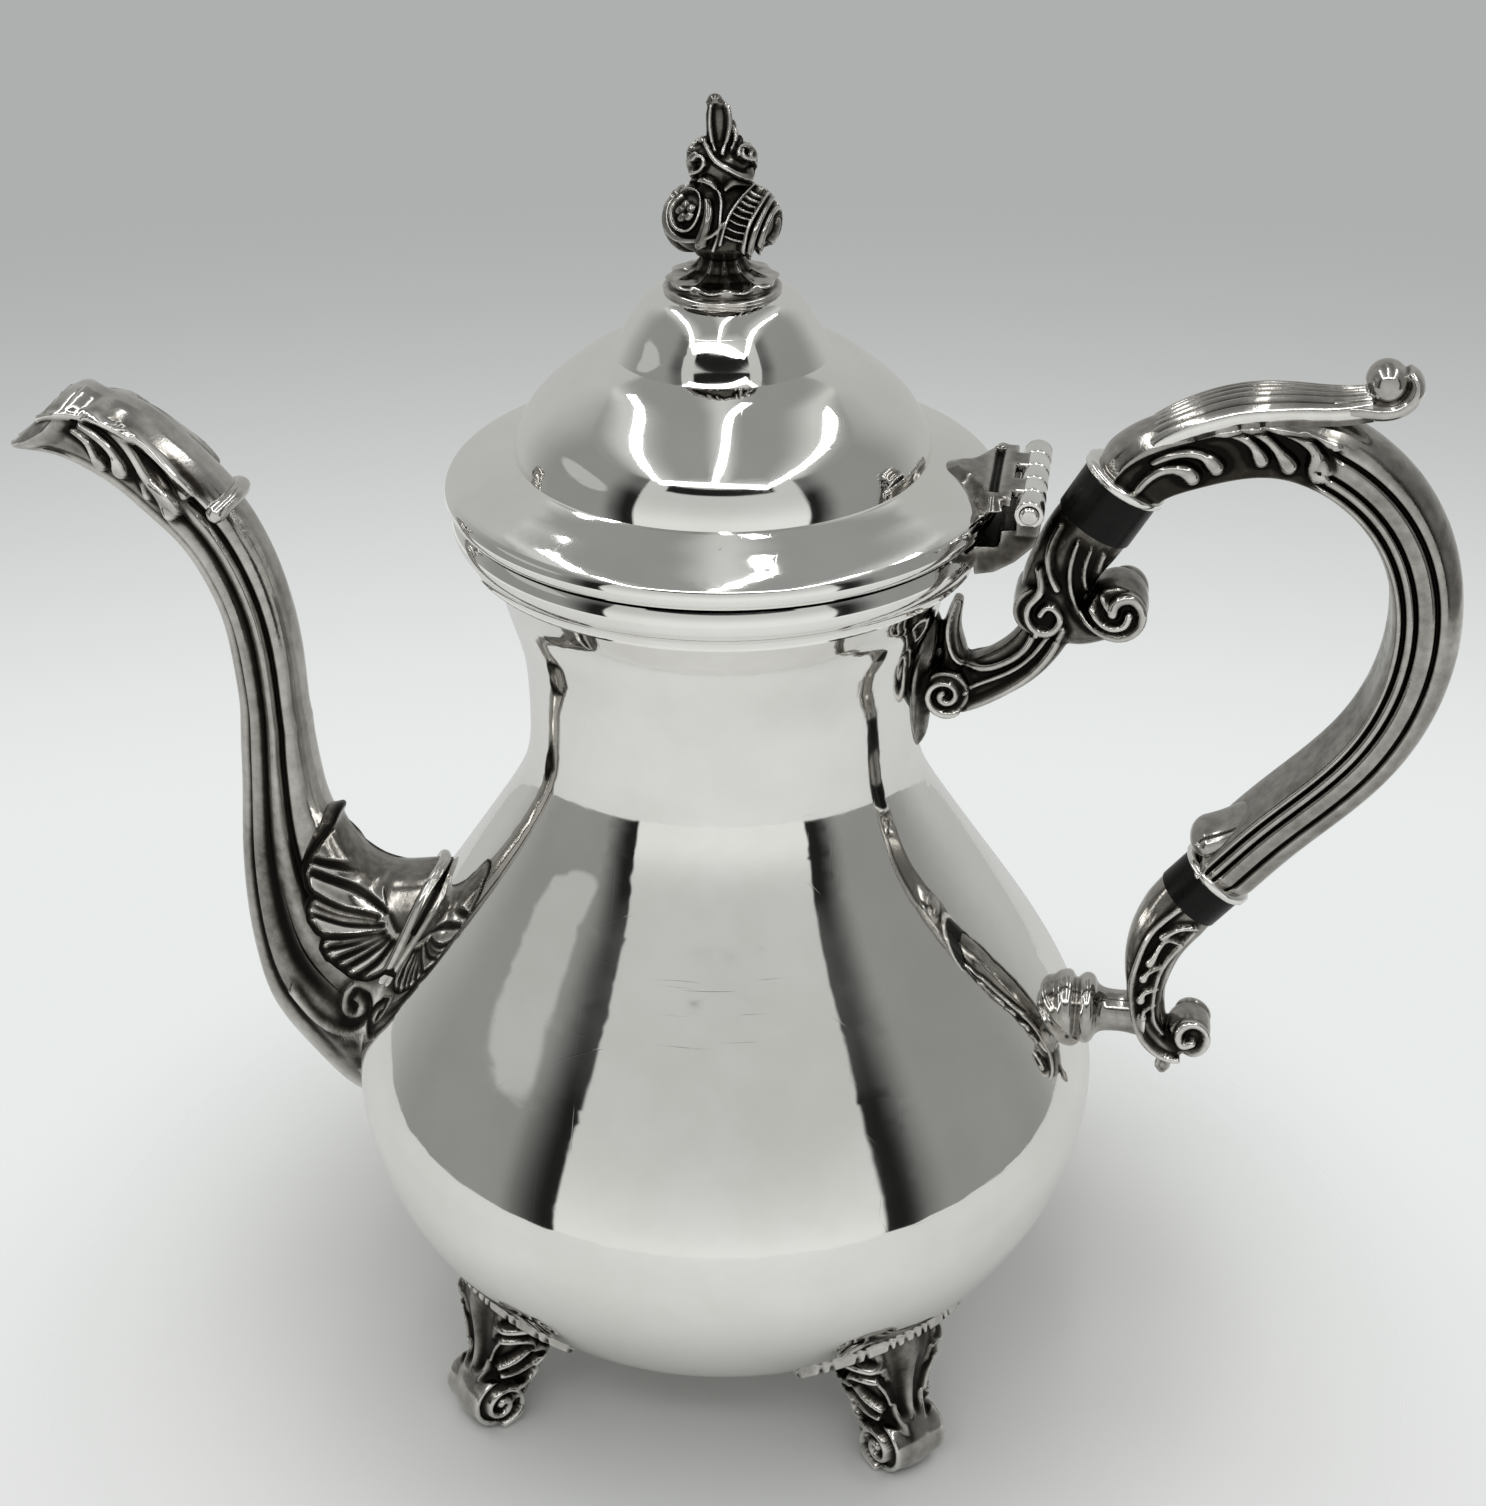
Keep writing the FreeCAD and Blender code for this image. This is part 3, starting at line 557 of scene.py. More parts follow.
def build_floor():
    angle = circle(FLOOR_SIDES)
    rim = FLOOR_RADIUS * np.stack([np.cos(angle), np.sin(angle), 0 * angle], axis=1)
    faces = [(0, i + 1, (i + 1) % FLOOR_SIDES + 1) for i in range(FLOOR_SIDES)]
    mesh = bpy.data.meshes.new("floor")
    mesh.from_pydata([(0, 0, 0)] + rim.tolist(), [], faces)
    floor = linked("floor", mesh)
    floor.location.z = -FLOOR_DROP
    material, tree, place = new_material("floor")
    reach = Value(tree, add(tree, "VectorMath", {0: place}, operation="LENGTH").outputs["Value"])
    # painted shade: the floor's colour is darker near the pot and turns pale further out
    tone = reach.step(*FLOOR_SHADE_TO_PALE).tint((0.79, 0.80, 0.79), (0.97, 0.975, 0.97))
    surface = add(tree, "BsdfPrincipled", {"Roughness": 0.7, "Base Color": tone})
    clear = add(tree, "BsdfTransparent")
    share = reach.step(*FLOOR_FADE) * add(tree, "LightPath").outputs["Is Camera Ray"]
    fade = add(tree, "MixShader", {0: share, 1: surface.outputs[0], 2: clear.outputs[0]})
    add(tree, "OutputMaterial", {"Surface": fade.outputs[0]})
    mesh.materials.append(material)


def build_camera():
    data = bpy.data.cameras.new("photo")
    data.lens = CAMERA_LENS
    data.sensor_width = CAMERA_SENSOR
    data.clip_start = 0.01
    camera = linked("photo", data)
    camera.location = CAMERA_AT
    camera.rotation_euler = (math.radians(90 - CAMERA_PITCH), 0, math.radians(CAMERA_TURN))
    bpy.context.scene.camera = camera


# Materials

# turn and scale of each set of hairline scratches
HAIRLINES = (((0.3, 0.5, 0.2), (40, 40, 2600)), ((1.1, 0.2, 0.9), (30, 3000, 50)),
             ((0.6, 1.3, 2.1), (2400, 35, 35)))
# worn ridge, plain face, thin tarnish, black oxide; the same stops also give the painted shade of the hinge
# bracket and the painted highlight of the toe knuckles
TARNISH_AND_PAINTED_LIGHT = ((0.06, (0.93, 0.92, 0.90)), (0.28, (0.74, 0.725, 0.70)), (0.44, (0.50, 0.485, 0.46)),
           (0.55, (0.30, 0.287, 0.265)), (0.65, (0.115, 0.107, 0.094)), (0.75, (0.036, 0.032, 0.027)),
           (0.92, (0.010, 0.009, 0.008)))


def polished_silver():
    material, tree, place = new_material("polished_silver")
    haze = noise(tree, place, 38.0, 4.0, 0.6)
    fine = noise(tree, place, 900.0)
    # hairline scratches over a slow hand-raised waviness
    height = noise(tree, place, 22.0, 1.0) * 0.12
    for turn, scale in HAIRLINES:
        spot = add(tree, "Mapping", {"Vector": place, "Scale": scale, "Rotation": turn}).outputs[0]
        height = height + noise(tree, spot, 1.0, 1.0, 0.4).step(0.7, 0.78) * -0.02
    finish_material(tree, {"Metallic": 1.0,
                           "Base Color": haze.step(0.3, 0.75).tint((0.86, 0.85, 0.825), (0.93, 0.925, 0.91)),
                           "Roughness": haze.step(0.45, 0.8) * 0.05 + 0.035 + fine * 0.02,
                           "Normal": bumped(height, 0.12, 0.0006)})
    return material


def cast_silver():
    material, tree, place = new_material("cast_silver")
    # patina in hollows and worn ridges, with painted shade on the hinge bracket and a painted highlight on
    # the toe knuckles
    patina_with_painted_light = add(tree, "Attribute", attribute_name="patina_and_painted_light").outputs["Fac"]
    mottle = noise(tree, place, 420.0, 4.0, 0.65)
    cloud = noise(tree, place, 70.0, 3.0, 0.6)
    film_with_painted_light = (mottle - 0.5) * 0.22 + patina_with_painted_light + (cloud - 0.5) * 0.25
    ramp = add(tree, "ValToRGB", {0: film_with_painted_light})
    stops = ramp.color_ramp.elements
    while len(stops) < len(TARNISH_AND_PAINTED_LIGHT):
        stops.new(0.5)
    for stop, (spot, colour) in zip(stops, TARNISH_AND_PAINTED_LIGHT):
        stop.position = spot
        stop.color = colour + (1,)
    finish_material(tree, {"Metallic": 1.0, "Base Color": ramp.outputs[0],
                           "Roughness": film_with_painted_light.step(0.5, 0.85) * 0.3 + 0.12 + mottle.step(0.4, 0.8) * 0.06,
                           "Normal": bumped(mottle + cloud * 0.8, 0.12, 0.0003)})
    return material


CAST_SILVER = cast_silver()


def black_insulator():
    material, tree, place = new_material("black_insulator")
    grain = noise(tree, place, 650.0, 3.0, 0.6)
    finish_material(tree, {"Specular IOR Level": 0.15,
                           "Base Color": grain.tint((0.002, 0.002, 0.002), (0.009, 0.009, 0.0085)),
                           "Roughness": grain * 0.2 + 0.2, "Normal": bumped(grain, 0.1, 0.0002)})
    return material


def brass_fixing():
    material, tree, place = new_material("brass_fixing")
    stain = noise(tree, place, 300.0, 4.0, 0.6)
    finish_material(tree, {"Metallic": 1.0, "Base Color": stain.tint((0.35, 0.22, 0.08), (0.80, 0.58, 0.26)),
                           "Roughness": stain * 0.25 + 0.2})
    return material


# Body outline, used to seat pieces on the body

# all as shares: way down from the belly to the base, then height and shrinking from the belly to the neck,
# then height and growth from the neck to the mouth
BOWL_STEPS = (0.999, 0.97, 0.9, 0.75, 0.55, 0.3, 0.0)
SHOULDER_STEPS = ((0.122, 0.0), (0.195, 0.056), (0.28, 0.15), (0.378, 0.28), (0.488, 0.444), (0.598, 0.611),
                  (0.695, 0.756), (0.78, 0.876), (0.854, 0.955), (0.927, 0.992), (1.0, 1.0))
NECK_STEPS = ((0.179, 0.01), (0.418, 0.1), (0.687, 0.39), (1.0, 1.0))


def body_outline():
    points = [(BELLY * (1 - s ** 1.5) ** (1 / 2.85), LEVEL - s * (LEVEL - BASE)) for s in BOWL_STEPS]
    for rise, shrink in SHOULDER_STEPS:
        points.append((BELLY - shrink * (BELLY - NECK), LEVEL + rise * (NECK_Z - LEVEL)))
    for rise, grow in NECK_STEPS:
        points.append((NECK + grow * (MOUTH - NECK), NECK_Z + rise * (BAND_LOW - NECK_Z)))
    return spline(points, 400)


OUTLINE = body_outline()


def body_radius(z):
    return np.interp(z, OUTLINE[:, 1], OUTLINE[:, 0])


# Spout, out from the belly and up from its level: chords of its root from the inner to the outer edge with a
# half width, the middle line of its stem, and the stem's sizes: share, half thickness, half width
ROOT_CHORDS = (
    ((-22, 40), (-12, -12), 14.2), ((-13.5, 40.2), (3.5, -10), 13.9), ((-7.5, 39.2), (10, -3.5), 13.5),
    ((-2.8, 39.8), (15.5, 3.2), 12.6), ((0.6, 42.2), (19.8, 9.6), 11.6), ((3.2, 46), (22.4, 17.6), 10.4),
    ((5.2, 50.5), (23.7, 27.5), 9.2), ((6.8, 56), (24, 38), 8.1), ((7.7, 62.5), (23.4, 49), 7.3),
    ((8.3, 70.5), (22.3, 62.5), 6.6))
STEM = (
    (15.1, 75.5), (15.4, 84.4), (16.7, 94.9), (19.6, 104.3), (24.2, 112.7), (31, 120), (40.2, 127.2),
    (50, 128.9), (59, 125.6))
STEM_SIZES = (
    (0, 6.4, 6.2), (0.25, 6.6, 6.2), (0.57, 7.5, 6.7), (0.765, 7.4, 7.1), (0.88, 5.9, 6.2), (1, 1.6, 2.5))
STEM_STATIONS = 25
SIDE_WEIGHT = 20
SPOUT_POWER = 2.3
SPOUT_WALL = 1.5
SPOUT_LENGTH = 143
# cut of the lip, and the end of the saddle cap on the upper face
LIP_TOP = np.array([-115.6, 195.9])
LIP_TIP = np.array([-130.5, 182.6])
LIP_NORMAL = unit((LIP_TIP - LIP_TOP)[::-1] * (1, -1))
CAP_END = (-89.6, 175.6)
# share of the length past which the lip may cut the spout, and depth of its root in the body
LIP_START = 0.715
ROOT_SINK = 0.7
# reeds and flutes along both sides: angle from the upper face, half width, height
REEDS = ((81, 4.4, 0.4), (110, 5, 0.4), (68, 5.5, -1.05), (95, 6, -1.05), (125, 6, -1.05))
# leaves at the root and the tip, in side view: line, half width, height, swelling of the far end
SPOUT_LEAVES = (
    (((-66.9, 78.5), (-66.5, 74.7), (-68.5, 70.6), (-72.3, 67.8), (-76.7, 67.9), (-81.2, 71.5),
      (-83.8, 75.2)), 1, 1, 0),
    (((-66.9, 78.5), (-69.9, 79.6), (-72.6, 76), (-72.3, 72.4), (-70.4, 72.7), (-69.3, 75.5),
      (-70.2, 76.5)), 0.9, 1, 0),
    (((-75.4, 64.9), (-68.3, 66.5), (-71.2, 57.2)), 0.9, 0.8, 0),
    (((-113.8, 191.9), (-109.2, 189), (-105.5, 184.5), (-102.9, 179.5), (-100.2, 176.1), (-99.4, 174.5)),
     1.3, 1.7, 0.7),
    (((-115.1, 189.6), (-111.3, 187.3), (-108.9, 184.3), (-108.3, 181.4)), 1.2, 1.6, 0.6),
    (((-116.5, 188.6), (-113.6, 186.2), (-112.6, 183.4), (-112, 182.2)), 1, 1.5, 0.4),
    (((-108.1, 190.4), (-103.4, 186.5), (-99.5, 182), (-96.6, 177.7)), 1, 1.5, 0.3),
    (((-104.6, 179.4), (-103.9, 176.8)), 0.9, 1.3, 0.2))
LEAF_TAPER = (0.7, 1.0)


def spout_stations():
    # rows of centre, weighted direction to the body, half thickness and half width
    rows = []
    for inner, outer, wide in ROOT_CHORDS:
        a = np.array([-BELLY - inner[0], LEVEL + inner[1]])
        b = np.array([-BELLY - outer[0], LEVEL + outer[1]])
        half = np.linalg.norm(a - b) / 2
        rows.append(np.concatenate([(a + b) / 2, (a - b) / (2 * half) * SIDE_WEIGHT, [half, wide]]))
    path = spline([(-BELLY - out, LEVEL + up) for out, up in STEM], STEM_STATIONS)
    side = across_of(path) * SIDE_WEIGHT
    at, thick, wide = np.transpose(STEM_SIZES)
    shares = np.linspace(0, 1, STEM_STATIONS)
    sizes = np.stack([np.interp(shares, at, thick), np.interp(shares, at, wide)], axis=1)
    stem = np.concatenate([path, side, sizes], axis=1)[::2]
    return spline(np.concatenate([rows, stem]), 1200)


SPOUT = spout_stations()
SPOUT_SHARE = np.linspace(0, 1, len(SPOUT))


def spout_point(t, angle, grow=0.0):
    # point of the plain spout surface; angle 0 faces the body, pi away from it
    t, angle = np.broadcast_arrays(t, angle)
    centre_x, centre_z, side_x, side_z, thick, wide = (np.interp(t, SPOUT_SHARE, row) for row in SPOUT.T)
    c, s = oval(angle, SPOUT_POWER)
    reach = (thick + grow) * c / np.hypot(side_x, side_z)
    return np.stack([centre_x + side_x * reach, (wide + grow) * s, centre_z + side_z * reach], axis=-1)


def leaves_body(probe, shares, sink):
    # share at which each column of points comes out of the body
    outside = np.hypot(probe[..., 0], probe[..., 1]) > body_radius(probe[..., 2]) - sink
    return shares[np.argmax(outside, axis=0)]


def past_lip(points):
    return (points[..., [0, 2]] - LIP_TOP) @ LIP_NORMAL


def spout_relief(grid, t, first, fold, cap_end):
    # height of the ornament; fold is the angle from the upper face in degrees
    flat = grid[..., [0, 2]].reshape(-1, 2)
    lip = -past_lip(grid)
    tip = smooth(-99.5, -103.5, grid[..., 0]) * smooth(160, 168, grid[..., 2])
    # reeds and flutes end under the tip leaves
    reeds = sum(high * bump(fold, at, half) for at, half, high in REEDS)
    field = reeds * (1 - tip) * smooth(0.0, 0.12, t - first)
    # recessed ground and leaves at the tip
    field -= tip * smooth(52, 60, fold) * smooth(140, 126, fold) * smooth(1.5, 5.0, lip)
    leaves = ridges(flat, [(line, half, high, LEAF_TAPER, drop) for line, half, high, drop in SPOUT_LEAVES])
    field += leaves.reshape(field.shape) * smooth(40, 52, fold) * smooth(158, 146, fold)
    # saddle cap on the upper face with a bead along its edge, and a bead along the lip
    cap = smooth(cap_end - 0.002, cap_end + 0.004, t) * smooth(63, 57, fold)
    field += cap * (0.6 + 0.7 * bump(fold, 57, 3.5))
    field += 1.3 * bump(lip, 1.7, 1.6) * smooth(118, 80, fold)
    # raised border round the foot of the root
    return field + 0.7 * bump(fold, 148, 6) * smooth(0.24, 0.14, t) * smooth(0.0, 0.01, t - first)


def build_spout():
    half = np.concatenate([np.linspace(0, 56, 15), np.linspace(59, 134, 50), np.linspace(138, 180, 11)])
    angle = np.radians(np.concatenate([half, -half[-2:0:-1]]))
    dense = np.linspace(0, 1, 700)
    probe = spout_point(dense[:, None], angle)
    first = leaves_body(probe, dense, ROOT_SINK)
    beyond = (past_lip(probe) > 0) & (dense[:, None] > LIP_START)
    last = np.where(beyond.any(axis=0), dense[np.argmax(beyond, axis=0)], 1.0)
    t = first + (last - first) * np.linspace(0, 1, 420)[:, None]
    grid = spout_point(t, angle)
    crest = spout_point(SPOUT_SHARE, 0)[:, [0, 2]]
    cap_end = SPOUT_SHARE[np.argmin(np.linalg.norm(crest - CAP_END, axis=1))]
    field = spout_relief(grid, t, first, np.degrees(np.abs(angle)), cap_end)
    skin = grid + grid_normals(grid) * field[..., None]
    # round rim between the skin and the inside
    inner = spout_point(last + (first - last) * np.linspace(0, 1, 60)[:, None], angle, -SPOUT_WALL)
    middle = (skin[-1] + inner[0]) / 2
    face = 0.7 * np.insert(LIP_NORMAL, 1, 0)
    lean = np.radians((30, 60, 90, 120, 150))[:, None, None]
    rim = middle + (skin[-1] - middle) * np.cos(lean) + face * np.sin(lean)
    shell = closed_grid(np.concatenate([skin, rim, inner]), wrap_rows=True)
    # roll at the cap's end, across the upper face
    over = np.radians(np.linspace(-66, 66, 80))
    ends = np.interp(np.abs(np.linspace(-1, 1, 80)), (0.5, 0.82, 0.94, 1), (0.9, 1.1, 0.85, 0.3))
    roll = rope(spout_point(cap_end, over, 0.9), 1.75, (-0.65, 0, 0.76), 28, ends)
    mesh = new_mesh("spout", *merged(shell, roll))
    set_patina_and_painted_light(mesh, 12, 0.22, 0.54 + 0.1 * smooth(122, 98, read_mesh(mesh)[0][:, 2]), 0.8)
    casting(mesh, "spout", "pot", "spout_front_half", "spout_back_half")


# Scallop shell that clasps the spout root: its edge, ribs and border along the body
SHELL_HUB = np.array([-62.0, 90.6])
SHELL_EDGE = (
    (-76.5, 113), (-77.4, 109.6), (-78.7, 107.8), (-80.1, 105), (-80.8, 102.2), (-80.3, 98.5), (-79.3, 97),
    (-80.2, 94.6), (-79.9, 91.9), (-78.1, 89.3), (-77, 88.8), (-77.5, 86.5), (-76.1, 84.1), (-75, 83.7),
    (-73.1, 82.4), (-70.7, 80.9), (-67.3, 80.8), (-64.1, 82.5))
SHELL_RIBS = (
    ((-79.6, 104), (-74.5, 101.2), (-69, 98)),
    ((-78.9, 101.2), (-74.5, 98.6), (-68.2, 95.2), (-64.2, 93.5)),
    ((-79.2, 97.3), (-74, 94.2), (-65.8, 92.5)), ((-78.8, 95.2), (-73, 92.8), (-66, 92)),
    ((-78.6, 93.4), (-72.4, 91.5), (-64.7, 91.4)), ((-77, 88.8), (-71.4, 89), (-64.2, 90.4)),
    ((-76.4, 86.4), (-71, 87.8), (-64.4, 90)), ((-75, 83.7), (-69.9, 86.5), (-63.6, 89.8)),
    ((-72.8, 82.5), (-68.2, 85.6), (-63.2, 89.5)), ((-70.6, 81.1), (-66.1, 84.5), (-62.5, 89.1)))
SHELL_BORDER = ((-65.4, -13.4, 80.2), (-62.4, -12.8, 86.0), (-59.2, -10.1, 93.1), (-56.6, -5.8, 98.4),
                (-55.2, 0.0, 100.2))
SHELL_TOP = 0.285
SHELL_END = 0.305
SHELL_SINK = 1.25
SHELL_THICK = 2.3


def build_shell():
    angle = np.radians(np.linspace(-92, 92, 221))
    dense = np.linspace(0, 0.5, 600)
    first = leaves_body(spout_point(dense[:, None], angle), dense, 0.8)
    t = first + (SHELL_END - first) * np.linspace(0, 1, 210)[:, None]
    grid = spout_point(t, angle)
    out = grid_normals(grid)
    flat = grid[..., [0, 2]].reshape(-1, 2)
    # distance inside the scalloped edge
    edge = np.array(SHELL_EDGE) - SHELL_HUB
    edge_bearing = np.arctan2(edge[:, 1], edge[:, 0]) % (2 * math.pi)
    reach = np.hypot(edge[:, 0], edge[:, 1])
    away = flat - SHELL_HUB
    bearing = np.arctan2(away[:, 1], away[:, 0]) % (2 * math.pi)
    limit = np.interp(bearing, edge_bearing, reach, left=60.0, right=reach[-1])
    within = np.minimum(limit - np.hypot(away[:, 0], away[:, 1]), (SHELL_TOP - t.ravel()) * SPOUT_LENGTH)
    ribs = ridges(flat, [(line, 0.75, 1.0, (1.1, 0.7)) for line in SHELL_RIBS])
    flank = np.abs(np.sin(angle + 0 * t)).ravel()
    fan = smooth(0.25, 0.5, flank) * smooth(0.6, 2.2, within) * smooth(122, 127, np.degrees(bearing))
    field = SHELL_THICK * smooth(-0.6, 0.5, within) - SHELL_SINK + bump(within, 0.75, 0.75)
    field += fan * (ribs - 0.45)
    plate = sheet(grid + out * field.reshape(t.shape)[..., None], grid - out * SHELL_SINK)
    # border band along the body on both sides
    half = np.array(SHELL_BORDER)
    path = spline(np.concatenate([half, half[-2::-1] * (1, -1, 1)]), 140)
    ends = np.interp(np.linspace(0, 1, 140), (0, 0.05, 0.95, 1), (0.6, 1, 1, 0.6))
    verts, faces = merged(plate, rope(path, 1.1, (-0.3, 0, 1.0), 20, ends))
    mesh = new_mesh("spout_shell", verts, faces)
    set_patina_and_painted_light(mesh, 14, 0.25, np.where(np.arange(len(verts)) < len(plate[0]), 0.56, 0.66))
    casting(mesh, "spout_shell", "pot", "spout_shell_collar")


# Handle grip: middle line, half section with its reeds, leaf lobes under the thumb leaf with half width and
# swelling, and the profile of a ferrule as place along the grip and share of the radius
UPPER_SEAT = np.array([64.8, 181.0])
UPPER_END = np.array([69.1, 188.5])
LOWER_SEAT = np.array([87.0, 106.5])
LOWER_END = np.array([91.3, 111.9])
GRIP_LINE = (
    (68.8, 188), (70.6, 191.1), (79, 196.1), (94, 199.3), (114.5, 188.2), (122.3, 165), (115.2, 140.5),
    (100.4, 123.1), (93.2, 114.2), (91.1, 111.6))
GRIP_SECTION = (
    (6.1, 0), (6.1, 2.5), (6.05, 4.6), (5.85, 5.9), (5.5, 6.7), (5.1, 7), (4.75, 6.8), (4.5, 6.2),
    (4.28, 5.9), (4.05, 6.2), (3.8, 6.8), (3.2, 7.1), (2.7, 6.85), (2.45, 6.2), (2.22, 5.8), (2, 6.2),
    (1.75, 6.8), (1.1, 7.1), (0.3, 7.15), (-0.45, 7), (-0.85, 6.7), (-1.1, 6.1), (-1.35, 5.7), (-1.65, 6),
    (-2, 6.45), (-2.8, 6.4), (-3.7, 5.9), (-4.6, 5.1), (-5.35, 3.9), (-5.9, 2.2), (-6.1, 0))
LEAF_LOBES = (
    (((70.3, 187.5), (73.2, 192.2), (76.5, 194.2), (79.4, 193.8), (80.3, 193.1)), 1.2, 0.5),
    (((73.9, 195.1), (78.5, 197.1), (82.3, 196.7), (84.1, 195.1)), 1.2, 0.5),
    (((83.2, 201.2), (86.6, 201), (89.9, 199.2), (91.4, 196.9)), 1.2, 0.4),
    (((86.4, 202.9), (91.6, 200.7), (94.4, 198.1), (96, 196.1)), 1.2, 0.5),
    (((91.4, 203.1), (96.6, 201.3), (99.9, 198.8), (100.9, 195.5)), 1.3, 0.9),
    (((96.4, 203), (100.2, 201.9), (103, 200.4)), 1, 0.3))
FERRULE = ((-0.4, 0.86), (-0.1, 0.95), (0.3, 1.0), (1.1, 1.0), (1.5, 0.94), (1.8, 0.8), (1.9, 0.5))
UPPER_FERRULE = 7.7
LOWER_FERRULE = 7.2
TONGUE = ((104.6, 130.0), (98.0, 125.2), (91.8, 121.3), (86.2, 119.2))
LEAF_GROUND = 5.7


def ferrule(end, seat, radius):
    axis = unit(end - seat)
    along, size = np.transpose(FERRULE)
    angle = circle(64)
    size = radius * size[:, None]
    side = np.array([[axis[1], -axis[0]]])
    return closed_grid(swept(end + axis * along[:, None], side, size * np.cos(angle), size * np.sin(angle)))


def build_grip():
    path = spline(GRIP_LINE, 420)
    run = run_along(path)
    half = spline(GRIP_SECTION, 101)
    side, up = np.concatenate([half, half[-2:0:-1] * (1, -1)]).T
    # sunk ground for the leaf lobes at the upper end, and both ends drawn in to fit their ferrules
    flank = (np.abs(side - 1.6) < 4.2) & (np.abs(up) > 5)
    share = smooth(40, 36, run)[:, None]
    fit = (1 - 0.16 * smooth(4, 1, np.minimum(run, run[-1] - run)))[:, None]
    sunk = np.where(flank, np.clip(up, -LEAF_GROUND, LEAF_GROUND), up)
    reach = side * fit
    grid = swept(path, across_of(path), reach, (up * (1 - share) + sunk * share) * fit)
    out = grid_normals(grid)
    flat = grid[..., [0, 2]].reshape(-1, 2)
    lobes = ridges(flat, [(line, wide, 1.9, (0.6, 1.0), drop) for line, wide, drop in LEAF_LOBES])
    lobes *= np.abs(out[..., 1]).ravel() * smooth(-3.6, -2.0, reach.ravel())
    lobes *= smooth(108, 104, flat[:, 0]) * smooth(184, 187, flat[:, 1])
    bar = closed_grid(grid + out * lobes.reshape(reach.shape)[..., None])
    # broad tongue with a round end over the lower insulator
    blunt = np.sqrt(np.clip(1 - np.clip(np.linspace(-5.2, 1, 125), 0, 1) ** 2, 0.002, 1))
    verts, faces = merged(bar, ferrule(UPPER_END, UPPER_SEAT, UPPER_FERRULE),
                          ferrule(LOWER_END, LOWER_SEAT, LOWER_FERRULE),
                          tube(TONGUE, 2.8 * blunt, 5.8 * blunt ** 0.8, 125, 56, 2.3))
    mesh = new_mesh("grip", verts, faces)
    plain = np.full(len(verts), 0.57)
    plain[:lobes.size] += 0.18 * (share * flank).ravel() * smooth(1.0, 0.3, lobes)
    set_patina_and_painted_light(mesh, 12, 0.18, plain, 0.9)
    casting(mesh, "grip", "pot", "grip_front_half", "grip_back_half")


# Thumb leaf: middle line, curled tip with its half thicknesses and half widths, and the ball in the curl
LEAF_LINE = (
    (70.2, 194.4), (73.6, 198.3), (78, 201.2), (87, 204.6), (96, 205.6), (104, 205.7), (108.6, 206.4))
LEAF_CURL = ((102.0, 204.9), (107.0, 205.2), (111.6, 205.2), (114.8, 207.2), (115.3, 210.0), (113.9, 211.6))
CURL_THICK = (2.2, 2.2, 2.0, 1.9, 1.6, 0.8)
CURL_WIDE = (5.0, 4.8, 4.6, 4.3, 3.8, 2.4)
LEAF_BALL = both_ways(((0.0, 3.6), (1.6, 3.4), (3.1, 2.7), (4.0, 1.5), (4.3, 0.1)))
BALL_AT = (110.7, 0, 209.5)
LEAF_REEDS = 3.5


def build_leaf():
    rows = 160
    path = spline(LEAF_LINE, rows)
    share = np.linspace(0, 1, rows)
    columns = np.linspace(-1, 1, 81)
    wide = np.interp(share, (0, 0.12, 0.35, 0.6, 0.85, 1.0), (4.4, 6.0, 6.6, 6.4, 5.2, 4.2))
    top = np.interp(share, (0, 0.15, 0.5, 0.85, 1.0), (0.6, 1.5, 1.9, 1.8, 1.6))
    reeds = 0.55 * np.abs(np.cos(columns * math.pi * LEAF_REEDS)) ** 0.7
    crown = 1 - np.abs(columns) ** 3.0
    upper = 0.4 - top[:, None] * crown - reeds * smooth(0, 0.08, share)[:, None]
    lower = np.broadcast_to(1.2 + 1.4 * columns ** 2, upper.shape)
    side = np.concatenate([upper, lower], axis=1)
    up = np.concatenate([columns, columns[::-1]]) * wide[:, None]
    blade = closed_grid(swept(path, across_of(path), side, up))
    # tip curled up into a ball
    curl = [tube(LEAF_CURL, CURL_THICK, CURL_WIDE, 50, 36), turned(LEAF_BALL, BALL_AT, "y", 60, 50)]
    mesh = new_mesh("thumb_leaf", *merged(blade, shape_of(fused("leaf_curl", curl, 0.25, 2))))
    set_patina_and_painted_light(mesh, 10, 0.25, 0.49)
    casting(mesh, "thumb_leaf_cast", "pot", "thumb_leaf")


# Handle sockets: stems from their seats with half thicknesses and half widths, turned knobs, and ridges on
# both flanks in side view: line, half width, height, taper of both ends, swelling of the far end
UPPER_STEM = ((0.6, 1.0), (0, 0), (-2.4, -3.8), (-4.4, -7.6), (-6.0, -15.0), (-3.4, -18.2), (3.6, -17.8))
UPPER_THICK = (6.7, 6.7, 6.3, 5.9, 5.0, 4.2, 3.4)
UPPER_WIDE = (6.7, 6.7, 6.3, 6.0, 5.8, 5.6, 5.4)
UPPER_KNOB = both_ways(((0.0, 5.4), (2.8, 5.2), (5.0, 4.7), (5.8, 3.6), (6.0, 0.6)))
UPPER_KNOB_AT = (69.8, 0, 165.8)
# drums as x, z, radius and half width
UPPER_CURL = (56.4, 165.6, 4.6, 6.0)
UPPER_EYE = (40.8, 148.5, 4.2, 6.4)
UPPER_ARM = ((30.0, 148.6), (38.1, 147.5), (48.0, 150.0), (55.2, 155.8), (59.6, 164.0))
UPPER_SPUR = ((40.5, 148.0), (41.8, 153.0), (41.2, 158.0), (42.2, 165.0))
